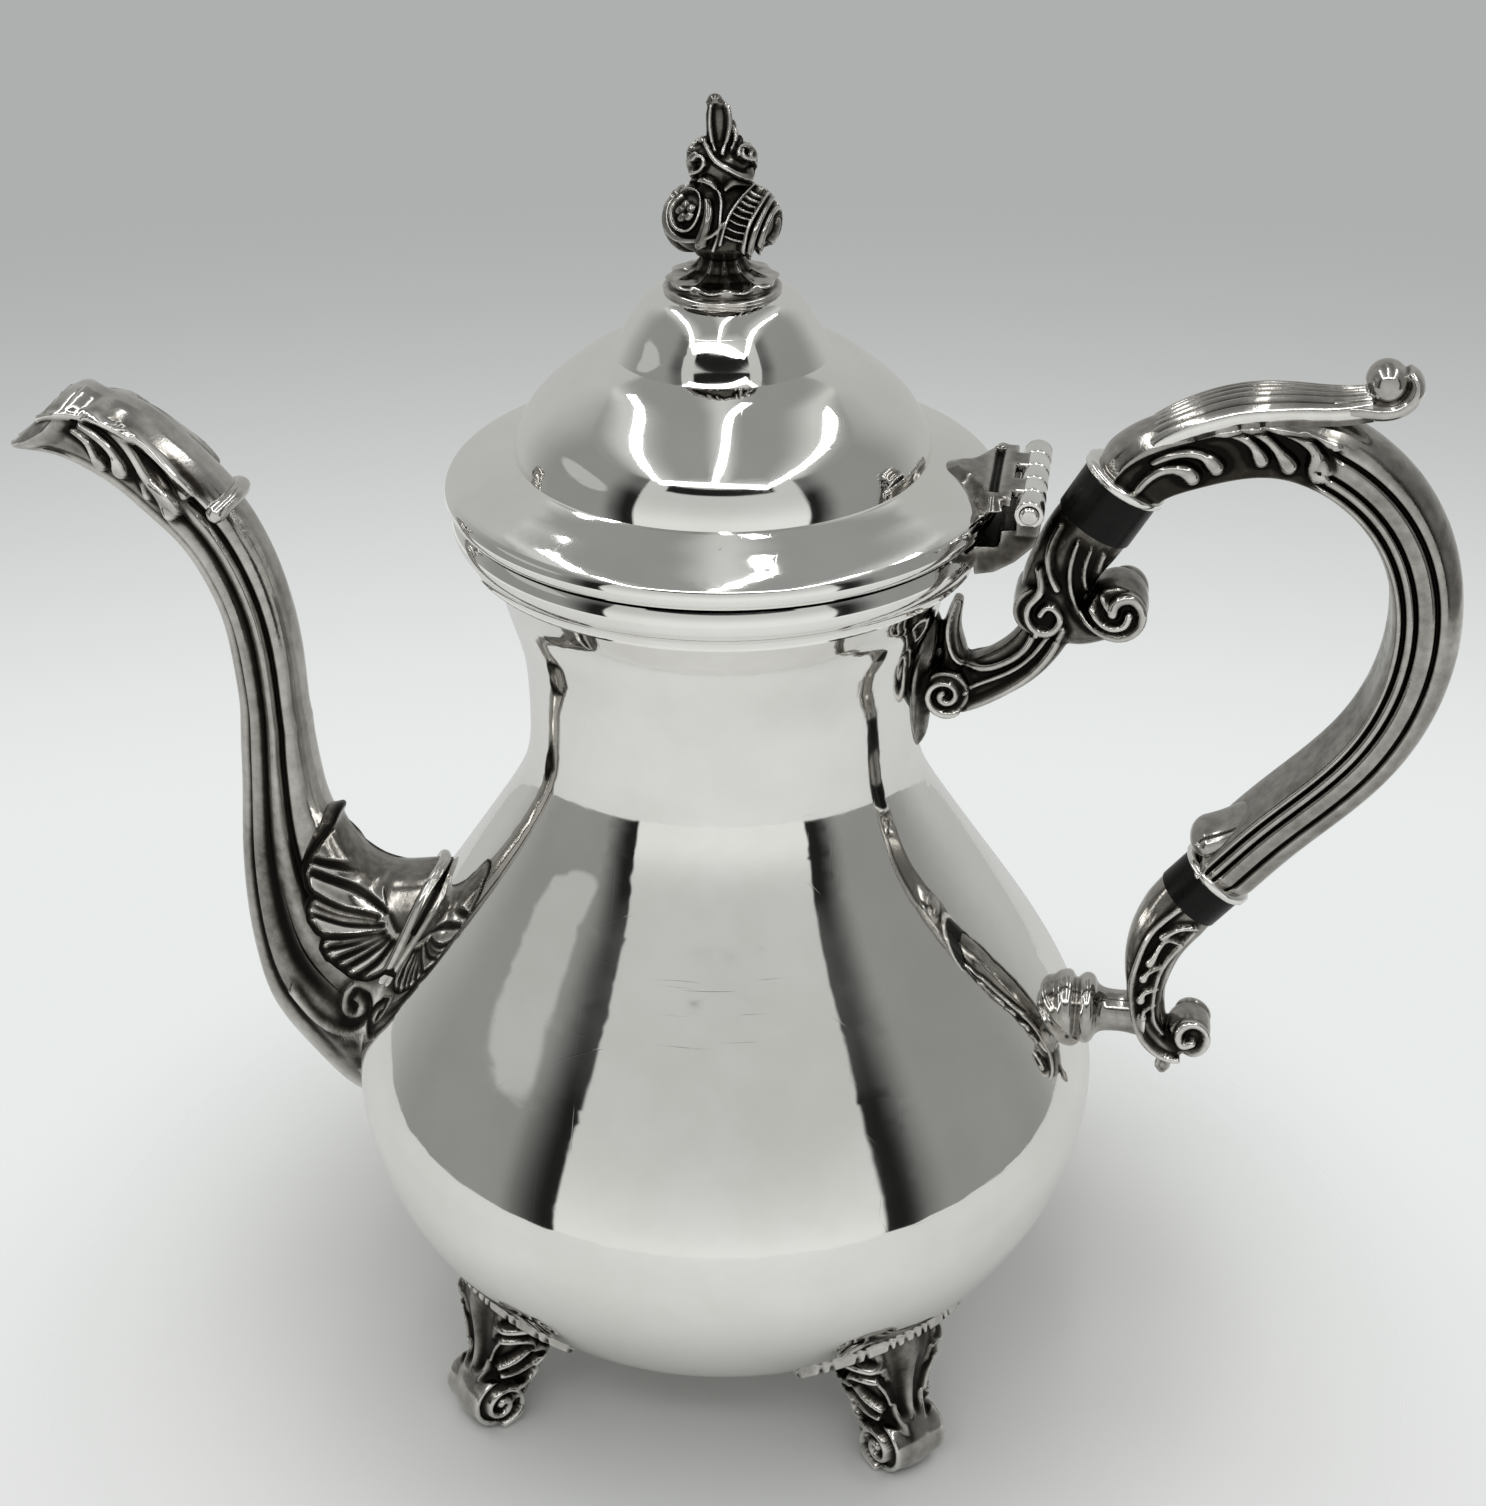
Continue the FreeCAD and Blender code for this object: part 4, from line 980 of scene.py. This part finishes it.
# middle, half height, half width and thickness of the pad on the neck, and how deep it reaches into it
PAD_Z = 148.0
PAD_HIGH = 14.0
PAD_WIDE = 8.6
PAD_THICK = 2.4
PAD_SINK = 0.9
UPPER_LINES = (
    (((58.9, 181.8), (57.7, 178.6), (57.5, 174.7), (59.2, 170.6)), 0.8, 0.9, (0.5, 1)),
    (((62.2, 179.6), (61.3, 175), (61.6, 170.2), (63.3, 165.6), (67.3, 162.4), (71.2, 161.9), (73.8, 164.2),
      (73.8, 167.2), (72, 169.2), (69.6, 168.6), (69, 166.6)), 0.85, 1.1, (0.6, 1), 0.3),
    (((64.6, 178.6), (63.7, 174.6), (64.2, 169.9), (66.2, 165.6), (68.6, 163.9), (71.2, 164.6),
      (71.8, 166.4)), 0.7, 1, (0.6, 1), 0.2),
    (((66.8, 177.4), (66.1, 174), (66.6, 170.1), (68.3, 167.2)), 0.8, 1, (0.6, 0.8)),
    (((56.2, 173.4), (56.4, 169.6), (54.6, 167), (54.8, 163.6), (57, 162), (59.4, 163), (59.8, 165.6),
      (57.9, 167), (56.6, 165.4)), 0.85, 1, (1, 0.9)),
    (((60.6, 162.7), (58.1, 156.5), (53, 150.6), (47.3, 146.7), (43.4, 145), (40.6, 144.7)), 0.8, 1),
    (spiral((40.8, 148.5), 266, -1.35, 3.7, 0.7), 0.75, 1, (1, 0.9), 0.2),
    (((56.3, 162.3), (54.1, 157.3), (50.4, 154.2), (46.1, 152.8), (42.6, 154.1), (40.9, 157.3),
      (40.6, 161.1), (41.6, 166)), 0.75, 0.9, (1, 0.6)),
    (((58.2, 161), (56.1, 157.4), (51.9, 153.2), (47.1, 150.6), (44, 149)), 0.6, 0.8, (1, 0.8)))
LOWER_STEM = ((0.8, 1.0), (0, 0), (-2.5, -3.8), (-4.6, -8.0), (-6.4, -18.0), (-5.6, -26.0), (-3.2, -31.2),
              (0.6, -33.8))
LOWER_THICK = (6.2, 6.2, 5.5, 4.7, 3.7, 3.4, 3.0, 2.6)
LOWER_WIDE = (6.2, 6.2, 5.8, 5.3, 4.9, 4.8, 4.7, 4.6)
LOWER_KNOB = both_ways(((0.0, 4.2), (1.8, 4.1), (3.4, 3.7), (4.2, 2.6), (4.4, 0.5)))
LOWER_KNOB_AT = (89.3, 0, 77.4)
LOWER_DROP = ((85.0, 72.6), (85.1, 70.2), (85.1, 68.2), (85.1, 66.4))
LOWER_LINES = (
    (((85.3, 107.5), (80.8, 101.6), (78.7, 94.6), (77.9, 88.2), (78.6, 82), (80.6, 77.1), (84.5, 73.6),
      (89.2, 73.2), (92.4, 76.1), (92.4, 79.4), (89.8, 80.8), (87.5, 78.9), (88.3, 76.4), (90, 77)),
     0.75, 1, (0.8, 1), 0.2),
    (((88.4, 102.4), (86.1, 98.4), (84.5, 93.3), (83.8, 88.2), (84.6, 83.7), (85.8, 81.4)), 0.8, 1,
     (0.6, 0.7)),
    (((86.2, 99.7), (83.3, 94.4), (82.2, 89.3), (82.1, 84.3), (83, 80.3), (84.6, 78)), 0.65, 0.8, (1, 0.7)),
    (((86.2, 99.7), (83.9, 100.7), (81.6, 96.7), (80.8, 94.8)), 0.7, 0.8, (0.8, 1), 0.3),
    (((83.3, 94.4), (80.9, 92.9), (79.9, 91)), 0.7, 0.8, (0.8, 1), 0.3),
    (((82.5, 88.7), (80.5, 87.9), (79.8, 85.9)), 0.7, 0.8, (0.8, 1), 0.3),
    (((82.3, 84.9), (80.6, 83.6), (80.6, 82)), 0.6, 0.8, (0.8, 1), 0.2),
    (((88.7, 103.4), (85.7, 103.4), (82.8, 101.2)), 0.7, 0.8, (0.8, 1), 0.3))
# turned post between the belly and the lower socket: reach from the pot's axis and radius
POST_Z = 80.0
POST_PROFILE = (
    (60.5, 5.6), (63.4, 5.9), (64.4, 6.7), (65.6, 7.1), (66.9, 6.8), (67.8, 5.7), (68.6, 6.3), (69.8, 6.8),
    (71, 6.3), (71.8, 5), (72.8, 4.3), (74.6, 4), (77, 4), (79, 4.3), (81, 4.7))


def neck_pad():
    # teardrop that follows the neck
    angle = circle(48)
    r = np.linspace(0.05, 1, 10)[:, None]
    z = PAD_Z + PAD_HIGH * r * np.sin(angle)
    y = PAD_WIDE * r * np.cos(angle) * ((1 + np.sin(angle)) / 2) ** 0.4
    reach = np.sqrt(body_radius(z) ** 2 - y * y)
    outer = np.stack([reach + PAD_THICK * (1 - r ** 6), y, z], axis=-1)
    inner = np.stack([reach - PAD_SINK, y, z], axis=-1)
    return closed_grid(np.concatenate([outer, inner[::-1]]))


def build_upper_socket():
    shapes = [tube(UPPER_SEAT + np.array(UPPER_STEM), UPPER_THICK, UPPER_WIDE),
              turned(UPPER_KNOB, UPPER_KNOB_AT, "y", 60, 40),
              drum(*UPPER_CURL), drum(*UPPER_EYE),
              tube(UPPER_ARM, (5.2, 5.2, 4.6, 4.4, 4.4), (5.0, 5.0, 4.6, 4.6, 5.0)),
              tube(UPPER_SPUR, (4.0, 2.4, 1.6, 0.9), (4.6, 4.4, 3.6, 2.0), 30, 28), neck_pad()]
    mesh = fused("upper_socket", shapes, 0.3, 4)
    side_relief(mesh, UPPER_LINES, 0.5, 35.0)
    set_patina_and_painted_light(mesh, 10, 0.25, 0.645)
    casting(mesh, "upper_socket_cast", "pot", "upper_socket")


def build_lower_socket():
    shapes = [tube(LOWER_SEAT + np.array(LOWER_STEM), LOWER_THICK, LOWER_WIDE),
              turned(LOWER_KNOB, LOWER_KNOB_AT, "y", 60, 40),
              tube(LOWER_DROP, (1.6, 1.0, 1.7, 0.5), (1.8, 1.1, 1.7, 0.5), 24, 24)]
    mesh = fused("lower_socket", shapes, 0.28, 4)
    side_relief(mesh, LOWER_LINES, 0.6)
    set_patina_and_painted_light(mesh, 10, 0.25, 0.58)
    casting(mesh, "lower_socket_cast", "pot", "lower_socket")


def build_post():
    mesh = new_mesh("lower_post", *turned(POST_PROFILE, (0, 0, POST_Z), "x", 96, 160))
    set_patina_and_painted_light(mesh, 10, 0.25, 0.5)
    casting(mesh, "lower_post_cast", "pot", "lower_post")


# Lid hinge: axis, knuckles, half the plan of the leaf on the lid, and sections of what carries the knuckles
HINGE_X = 54.0
HINGE_Z = 187.4
KNUCKLE_PITCH = 5.6
KNUCKLE_HALF = 2.68
KNUCKLE = both_ways(((2.33, 2.5), (2.56, 2.42), (2.68, 2.2), (2.68, 1.25)))
LID_KNUCKLES = (-1, 1)
BODY_KNUCKLES = (-2, 0, 2)
HINGE_PIN = both_ways(((13.98, 1.1), (14.02, 1.55), (14.2, 1.6), (14.5, 1.45), (14.72, 0.9), (14.75, 0.02)))
LID_LEAF_EDGE = (
    (40.4, 0), (40.9, -1.6), (43, -3.2), (44.5, -5.6), (46.4, -9.8), (47.9, -12.1), (49, -11.6),
    (50.8, -11.8))
LID_ARM = ((50.2, 187.9), (52.8, 187.9), (53.6, 189.3), (53.4, 189.6), (50.2, 189.6))
BODY_ARM = ((52.0, 183.6), (55.8, 183.6), (56.2, 186.6), (51.8, 186.6))
BRACKET = (
    (49.4, 184.2), (52, 184.3), (55.9, 183.9), (55.2, 181.6), (52, 178.4), (48.6, 176.3), (45.2, 175.6),
    (44.8, 180.9), (49.2, 181.1))
BRACKET_HALF = 13.4
# sides of the lid's leaf from its lower to its upper edge: reach beyond the plan, share of the height
LID_LEAF_SIDES = ((2.4, 1.0), (1.5, 0.62), (0.7, 0.34), (0.1, 0.12), (-0.3, 0.0))


def knuckles(places):
    return [turned(KNUCKLE, (HINGE_X, KNUCKLE_PITCH * k, HINGE_Z), "y", 64, wrap_rows=True) for k in places]


def knuckle_arms(section, places):
    middles = [KNUCKLE_PITCH * k for k in places]
    return [slab(section, middle - KNUCKLE_HALF, middle + KNUCKLE_HALF) for middle in middles]


def lid_leaf():
    # plate on the lid's flange, with flared sides everywhere but along the knuckles
    half = spline(LID_LEAF_EDGE, 60)
    edge = np.concatenate([half[::-1], half[1:] * (1, -1)])
    side = across_of(edge)
    side *= np.sign(np.sum(side * (edge - (48.0, 0.0)), axis=1).mean())
    back, end = LID_LEAF_EDGE[-1]
    straight = np.stack([np.full(38, back), np.linspace(-end, end, 40)[1:-1]], axis=1)
    side = np.concatenate([side * smooth(50.4, 48.4, edge[:, :1]), 0 * straight])
    edge = np.concatenate([edge, straight])
    rings = []
    for reach, drop in LID_LEAF_SIDES:
        plan = edge + side * reach
        top = np.interp(plan[:, 0], (40.0, 43.0, 46.0, 49.0), (190.7, 190.2, 189.9, 189.6))
        low = np.interp(np.hypot(plan[:, 0], plan[:, 1]), (36.8, 41.15, 43.5, 47.6, 48.3, 48.9),
                        (190.2, 188.7, 187.7, 185.8, 186.3, 187.8))
        rings.append(np.insert(plan, 2, top + (low - top) * drop, axis=1))
    return closed_grid(np.array(rings))


def build_hinge():
    mesh = fused("hinge_leaf", [lid_leaf()] + knuckle_arms(LID_ARM, LID_KNUCKLES), 0.22, 2)
    # groove across the leaf, in front of the knuckles
    co, no = read_mesh(mesh)
    across = bump(co[:, 0], 47.6, 0.75) * smooth(10.2, 9.4, np.abs(co[:, 1]))
    co[:, 2] -= 1.2 * across * smooth(0.3, 0.8, no[:, 2])
    write_mesh(mesh, co)
    mesh = new_mesh("hinge_lid_leaf", *merged(shape_of(mesh), *knuckles(LID_KNUCKLES)))
    set_patina_and_painted_light(mesh, 12, 0.25, 0.59)
    casting(mesh, "hinge_lid_leaf_cast", "lid", "hinge_lid_leaf")
    shapes = [slab(BRACKET, -BRACKET_HALF, BRACKET_HALF)] + knuckle_arms(BODY_ARM, BODY_KNUCKLES)
    bracket = shape_of(fused("hinge_bracket", shapes, 0.25, 3))
    mesh = new_mesh("hinge_body_leaf", *merged(bracket, *knuckles(BODY_KNUCKLES)))
    # painted shade: the bracket and its knuckles are set near black, as under the mouth band
    set_patina_and_painted_light(mesh, 12, 0.25, 0.70)
    casting(mesh, "hinge_body_leaf_cast", "pot", "hinge_body_leaf")
    mesh = new_mesh("hinge_pin", *turned(HINGE_PIN, (HINGE_X, 0, HINGE_Z), "y", 48))
    set_patina_and_painted_light(mesh, 4, 0.25, 0.42)
    casting(mesh, "hinge_pin_turned", "pot", "hinge_pin")


# Finial: profiles as height and radius, and ridges of the bud, the leaf collar and the flame as seen from the
# front, with the same columns as the sockets' ridges
BUD_Z = 231.0
VIEW_RISE = math.radians(CAMERA_PITCH)
FINIAL_SEAT = ((219, 9.3), (219.3, 9.9), (219.8, 10.1), (220.2, 9.7), (220.4, 9), (221.4, 8.9), (221.8, 7))
BUD = (
    (225, 3.2), (225.8, 4.4), (226.8, 6.8), (228, 8.4), (229.6, 9.2), (231.2, 9.4), (232.8, 9.1),
    (234.4, 8.2), (235.8, 6.6), (236.8, 5), (237.6, 4.3), (238.6, 4.5), (240, 5), (241.6, 5.2), (243, 4.6),
    (244, 3.4), (244.6, 2))
FLAME_TIP = (-1.1, 0, 0)
FLAME_Z = 241.0
FLAME_HIGH = 10.6
TIP_BEAD = ((250.2, 0.3), (250.5, 0.9), (251.2, 1.25), (251.9, 0.9), (252.2, 0.3))
LADDER_RIGHT = ((7.3, 3.6), (5.7, 0.4), (3.9, -3.2), (3.3, -6.0))
LADDER_LEFT = ((4.9, 4.9), (3.0, 1.9), (1.2, -1.1), (-0.3, -5.2))
LADDER_RUNGS = 8
FLOWER_AT = (-5.9, 0.2)
FLOWER_SIZE = (0.95, 1.2)
PETALS = 5
FINIAL_LINES = (
    (((0.4, -2.3), (-1.4, -4), (-4.2, -4.6), (-7.2, -3.8), (-9, -1.4), (-9.2, 1), (-8, 3.6), (-5.8, 4.6)),
     0.42, 0.7),
    (((-5.8, 4.6), (-3.9, 3.4), (-3.4, 0.8), (-4, -1.6), (-5.4, -3), (-7.2, -2.4), (-8.2, -0.4), (-8, 1.6),
      (-6.4, 3.1)), 0.34, 0.6),
    (((-2.4, 1.6), (-2.2, -0.6), (-2.7, -3), (-3.4, -5)), 1.15, 0.9, (0.7, 1)),
    (((-3.4, 5.4), (-1.2, 4.2), (-0.2, 2), (-0.2, -1), (-0.6, -4), (-1.4, -6)), 0.4, 0.7),
    (((0.6, 3.6), (2.6, 4.6), (4.6, 4.7)), 0.7, 0.5, (0.6, 1)), (LADDER_RIGHT, 0.4, 0.9),
    (LADDER_LEFT, 0.4, 0.9), (((8, 3.2), (6.5, -0.2), (5, -3.8), (4.3, -6)), 0.6, 0.9),
    (((9.3, 2.2), (8.2, 0.6), (7, -2.2), (6, -5)), 0.5, 0.8),
    (((9.7, 0.6), (9.3, -2.2), (8.2, -4)), 0.45, 0.7),
    (((-5, 10.6), (-3.4, 11.8), (-1.8, 8.8), (1.2, 6.4), (4.6, 6), (5.6, 7.2)), 0.55, 0.9, (1, 1), 0.3),
    (spiral((-3.8, 7.7), 100, 1.1, 1.5, 0.9), 0.4, 0.8),
    (spiral((3.9, 9.2), 200, -1.1, 1.4, 0.8), 0.4, 0.9), (spiral((5.2, 9), 20, 0.9, 1.1, 0.6), 0.35, 0.8),
    (((-1.5, 18.2), (-1.9, 14.2), (-1.1, 9.4)), 0.4, 0.6, (0.8, 1)),
    (((0.5, 18.2), (1.2, 15), (0.7, 11.2), (0.1, 8.8)), 0.45, 0.7, (0.8, 1)),
    (((1.3, 17.6), (2.2, 12.8), (1.6, 9.8)), 0.35, 0.6, (0.8, 1)))
FINIAL_GROUND = 0.55
TRUMPET_FLUTES = 5


def finial_view(co):
    # place as seen from the front, across and up; the far side is the same design turned half round
    across, depth, height = spun(co, -CAMERA_TURN).T
    up = (height - BUD_Z) * math.cos(VIEW_RISE) - np.abs(depth) * math.sin(VIEW_RISE)
    return np.stack([np.where(depth < 0, across, -across), up], axis=1)


def finial_lines():
    lines = list(FINIAL_LINES)
    pairs = list(zip(spline(LADDER_LEFT, LADDER_RUNGS + 2), spline(LADDER_RIGHT, LADDER_RUNGS + 2)))
    for left, right in pairs[1:-1]:
        lines.append(((left, (left + right) / 2 - 0.2, right), 0.24, 0.55))
    for turn in circle(PETALS) + 0.3:
        spot = np.array(FLOWER_AT) + np.array(FLOWER_SIZE) * (math.cos(turn), math.sin(turn))
        lines.append(((spot - 0.15, spot + 0.15), 0.75, 0.5))
    return lines


def trumpet():
    # fluted foot of the bud with a scalloped, turned-up edge
    angle = circle(300)
    fold = np.abs(np.cos(TRUMPET_FLUTES * angle + 0.35))
    share = np.linspace(0, 1, 90)[:, None]
    steps = (0, 0.06, 0.14, 0.3, 0.5, 0.75, 1.0)
    radius = np.interp(share, steps, (8.2, 8.9, 8.5, 6.7, 5.0, 3.9, 3.5))
    radius = radius - np.interp(share, (0.08, 0.2, 0.5, 1.0), (0.0, 0.8, 0.75, 0.35)) * (1 - fold ** 6)
    radius += np.interp(share, (0.1, 0.3), (0.9, 0.0)) * (1 - fold ** 2)
    rise = np.interp(share, steps, (221.0, 221.4, 222.0, 222.5, 223.2, 224.6, 226.6))
    rise = rise - np.interp(share, (0.1, 0.3, 0.6), (0.0, 0.35, 0.0)) * (1 - fold ** 4)
    return closed_grid(np.stack([radius * np.cos(angle), radius * np.sin(angle), rise], axis=-1))


def flame():
    # leaf on top of the bud, broad side to the front
    share = np.linspace(0, 1, 50)[:, None]
    turn = circle(48)
    across = np.interp(share, (0, 0.3, 0.7, 1.0), (-0.3, -0.2, -0.8, -1.1))
    wide = np.interp(share, (0, 0.25, 0.5, 0.75, 0.92, 1.0), (3.4, 3.0, 2.6, 2.3, 1.7, 0.9))
    depth = np.interp(share, (0, 0.3, 0.7, 1.0), (2.8, 2.2, 1.6, 0.9)) * np.sin(turn)
    across = across + wide * np.cos(turn)
    grid = np.stack([across, depth, FLAME_Z + FLAME_HIGH * share + 0 * turn], axis=-1)
    return closed_grid(spun(grid, CAMERA_TURN))


def build_finial():
    tip = spun(np.array(FLAME_TIP), CAMERA_TURN)
    shapes = [turned(FINIAL_SEAT, (0, 0, 0), "z", 150, 60), trumpet(), turned(BUD, (0, 0, 0), "z", 160, 160),
              flame(), turned(TIP_BEAD, tip, "z", 36, 30)]
    mesh = fused("finial", shapes, 0.14, 2)
    co, _ = read_mesh(mesh)
    weight = smooth(225.6, 226.8, co[:, 2]) * smooth(251.0, 250.0, co[:, 2])
    push(mesh, weight * ridges(finial_view(co), finial_lines(), FINIAL_GROUND))
    set_patina_and_painted_light(mesh, 14, 0.2, 0.67 - 0.2 * smooth(223.4, 222.2, co[:, 2]), 0.4)
    casting(mesh, "finial_cast", "lid", "finial")


# Feet: direction of each in degrees, outline by height with inner reach, outer reach and half width, and the
# ridges of the flanks: toe spiral, scroll up the rear edge, shell lobes above the toe
FEET = (("back_handle", 45), ("back_spout", 135), ("front_spout", 225), ("front_handle", 315))
FOOT_LEVELS = (
    (0.2, 55.6, 60.6, 4.6), (1.4, 53.8, 62.8, 5.6), (3.6, 51.4, 64, 6), (6.4, 49.2, 64.3, 6.1),
    (9, 47.2, 63.4, 6), (12, 44.8, 61.6, 6.2), (15.5, 42.6, 60.4, 7), (20, 40.6, 60, 8.6),
    (24, 38.8, 60.2, 10.2), (28, 37.8, 60.2, 11.4), (34, 37.6, 58, 12))
FOOT_LINES = (
    (spiral((58.6, 5.8), 200, -1.4, 4.6, 0.7), 0.8, 0.9, (1, 1), 0.3),
    (((58.5, 0.9), (53.6, 2.4), (49, 5.4), (45.4, 9.2), (42.6, 13.2), (42, 16.6), (43.8, 18.9),
      (46.4, 18.6), (47.2, 16.4), (45.4, 15.4)), 0.9, 0.9, (1, 1), 0.3),
    (((56.2, 6), (52.4, 7), (48.8, 9.8), (46.2, 12.6)), 0.5, 0.5, (1, 0.7)),
    (((58.2, 22.5), (55, 22.4), (52.4, 20.4), (51.8, 17.8)), 0.75, 0.9),
    (((51.8, 17.8), (49.4, 16.6), (48.6, 14), (50.6, 12.2)), 0.75, 0.9),
    (((50.6, 12.2), (50.2, 10.4), (52.2, 8.6), (55.2, 8.6)), 0.75, 0.9),
    (((51.8, 17.8), (55, 16), (58.4, 14.6)), 0.6, 0.8, (0.8, 1.2)),
    (((50.6, 12.2), (54, 12.2), (58, 12.4)), 0.6, 0.8, (0.8, 1.2)),
    (((58.2, 22.5), (59.2, 19), (59.8, 16.2)), 0.6, 0.8, (0.8, 1.2)),
    (((46.6, 21.6), (50.4, 24.2), (55, 25.6), (60, 25.6)), 0.9, 0.9))
# toe and heel scroll as x, z, radius and half width
TOE = (58.3, 5.9, 5.7, 6.5)
HEEL = (43.6, 21.8, 2.6, 9.0)
FOOT_POWER = 2.8
FLUTE_DEPTH = 1.2
FLUTE_PITCH = 8.0
# strip on the bowl round the top of a foot: half length, oval that bounds it, height of its middle, drop
# of its ends, width and swelling of its middle, radius of the bowl, places of the gaps between its pads
STRIP_HALF = 21
STRIP_OVAL = 21.6
STRIP_Z = 26.5
STRIP_BEND = 3.0
STRIP_WIDE = 2.0
STRIP_SWELL = 9.0
STRIP_RADIUS = 54
STRIP_GAPS = (1.0, 2.8, 4.2, 8.6, 10.2, 14.6, 16.4, 20.2)


def foot_mesh():
    z, low, high, wide = spline(FOOT_LEVELS, 90).T[..., None]
    c, s = oval(circle(96), FOOT_POWER)
    grid = np.stack([(low + high) / 2 + (high - low) / 2 * c, wide * s, z + 0 * s], axis=-1)
    mesh = fused("foot", [closed_grid(grid), drum(*TOE), drum(*HEEL)], 0.32, 4)
    side_relief(mesh, FOOT_LINES, 1.25)
    # outer face: flutes that fan up from the plain knuckle
    co, no = read_mesh(mesh)
    fan = np.arctan2(co[:, 1], co[:, 2] - 4.0)
    flutes = FLUTE_DEPTH * (np.abs(np.cos(fan * FLUTE_PITCH)) ** 3 - 1.0)
    push(mesh, flutes * smooth(0.5, 0.85, no[:, 0]) * smooth(11.5, 14.5, co[:, 2]))
    # nothing inside the body or below the table
    co, _ = read_mesh(mesh)
    reach = np.hypot(co[:, 0], co[:, 1])
    limit = body_radius(np.maximum(co[:, 2], BASE)) - 0.6
    inside = (co[:, 2] > BASE + 1) & (reach < limit)
    co[inside, :2] *= (limit / np.maximum(reach, 1e-6))[inside, None]
    co[:, 2] = np.maximum(co[:, 2], 0.0)
    write_mesh(mesh, co)
    return mesh


def strip_mesh():
    # strip with a row of raised pads along its upper edge
    s = np.linspace(-STRIP_HALF, STRIP_HALF, 253)[:, None]
    v = np.linspace(0, 1, 41)
    span = np.sqrt(np.clip(1 - (s / STRIP_OVAL) ** 2, 0, 1))
    z = STRIP_Z - STRIP_BEND * (s / STRIP_HALF) ** 2 + (v - 0.5) * (STRIP_WIDE + STRIP_SWELL * span)
    along = s / STRIP_RADIUS
    slope = unit(np.gradient(OUTLINE, axis=0))
    out_r = np.interp(z, OUTLINE[:, 1], slope[:, 1])
    out_z = -np.interp(z, OUTLINE[:, 1], slope[:, 0])
    gap = np.min(np.abs(np.abs(s) - STRIP_GAPS), axis=1, keepdims=True)
    pads = smooth(0.15, 0.55, gap) * smooth(0.60, 0.68, v) * smooth(0.98, 0.90, v)
    edge = smooth(0, 0.05, v) * smooth(1, 0.95, v) * smooth(STRIP_HALF, STRIP_HALF - 0.6, np.abs(s))
    def place(rise):
        r = body_radius(z) + rise * out_r
        return np.stack([r * np.cos(along), r * np.sin(along), z + rise * out_z], axis=-1)
    return new_mesh("strip", *sheet(place(edge * (1.0 + 0.9 * pads) - 0.5), place(-0.55)))


def build_feet():
    for kind, mesh in (("foot_", foot_mesh()), ("foot_plate_", strip_mesh())):
        co, no = read_mesh(mesh)
        plain = 0.64
        if kind == "foot_":
            # the outer face of the toe knuckle is made lighter: a painted highlight
            plain = 0.69 - 0.16 * smooth(0.3, 0.8, no[:, 0]) * smooth(13.5, 10.5, co[:, 2])
        set_patina_and_painted_light(mesh, 10, 0.22, plain, 0.5)
        for name, degrees in FEET:
            copy = mesh.copy()
            write_mesh(copy, spun(co, degrees))
            casting(copy, kind + name + "_cast", "pot", kind + name)
        bpy.data.meshes.remove(mesh)


def finish_nodes():
    plate = polished_silver()
    black = black_insulator()
    brass = brass_fixing()
    for name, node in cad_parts.items():
        node.data.materials.clear()
        if name.endswith("insulator"):
            node.data.materials.append(black)
        elif name in ("finial_stud", "finial_washer", "finial_nut"):
            node.data.materials.append(brass)
        else:
            node.data.materials.append(plate)


bpy.context.scene.view_settings.view_transform = "Standard"
build_world()
build_lamps()
build_floor()
build_camera()
finish_nodes()
build_spout()
build_shell()
build_grip()
build_leaf()
build_upper_socket()
build_lower_socket()
build_post()
build_hinge()
build_finial()
build_feet()
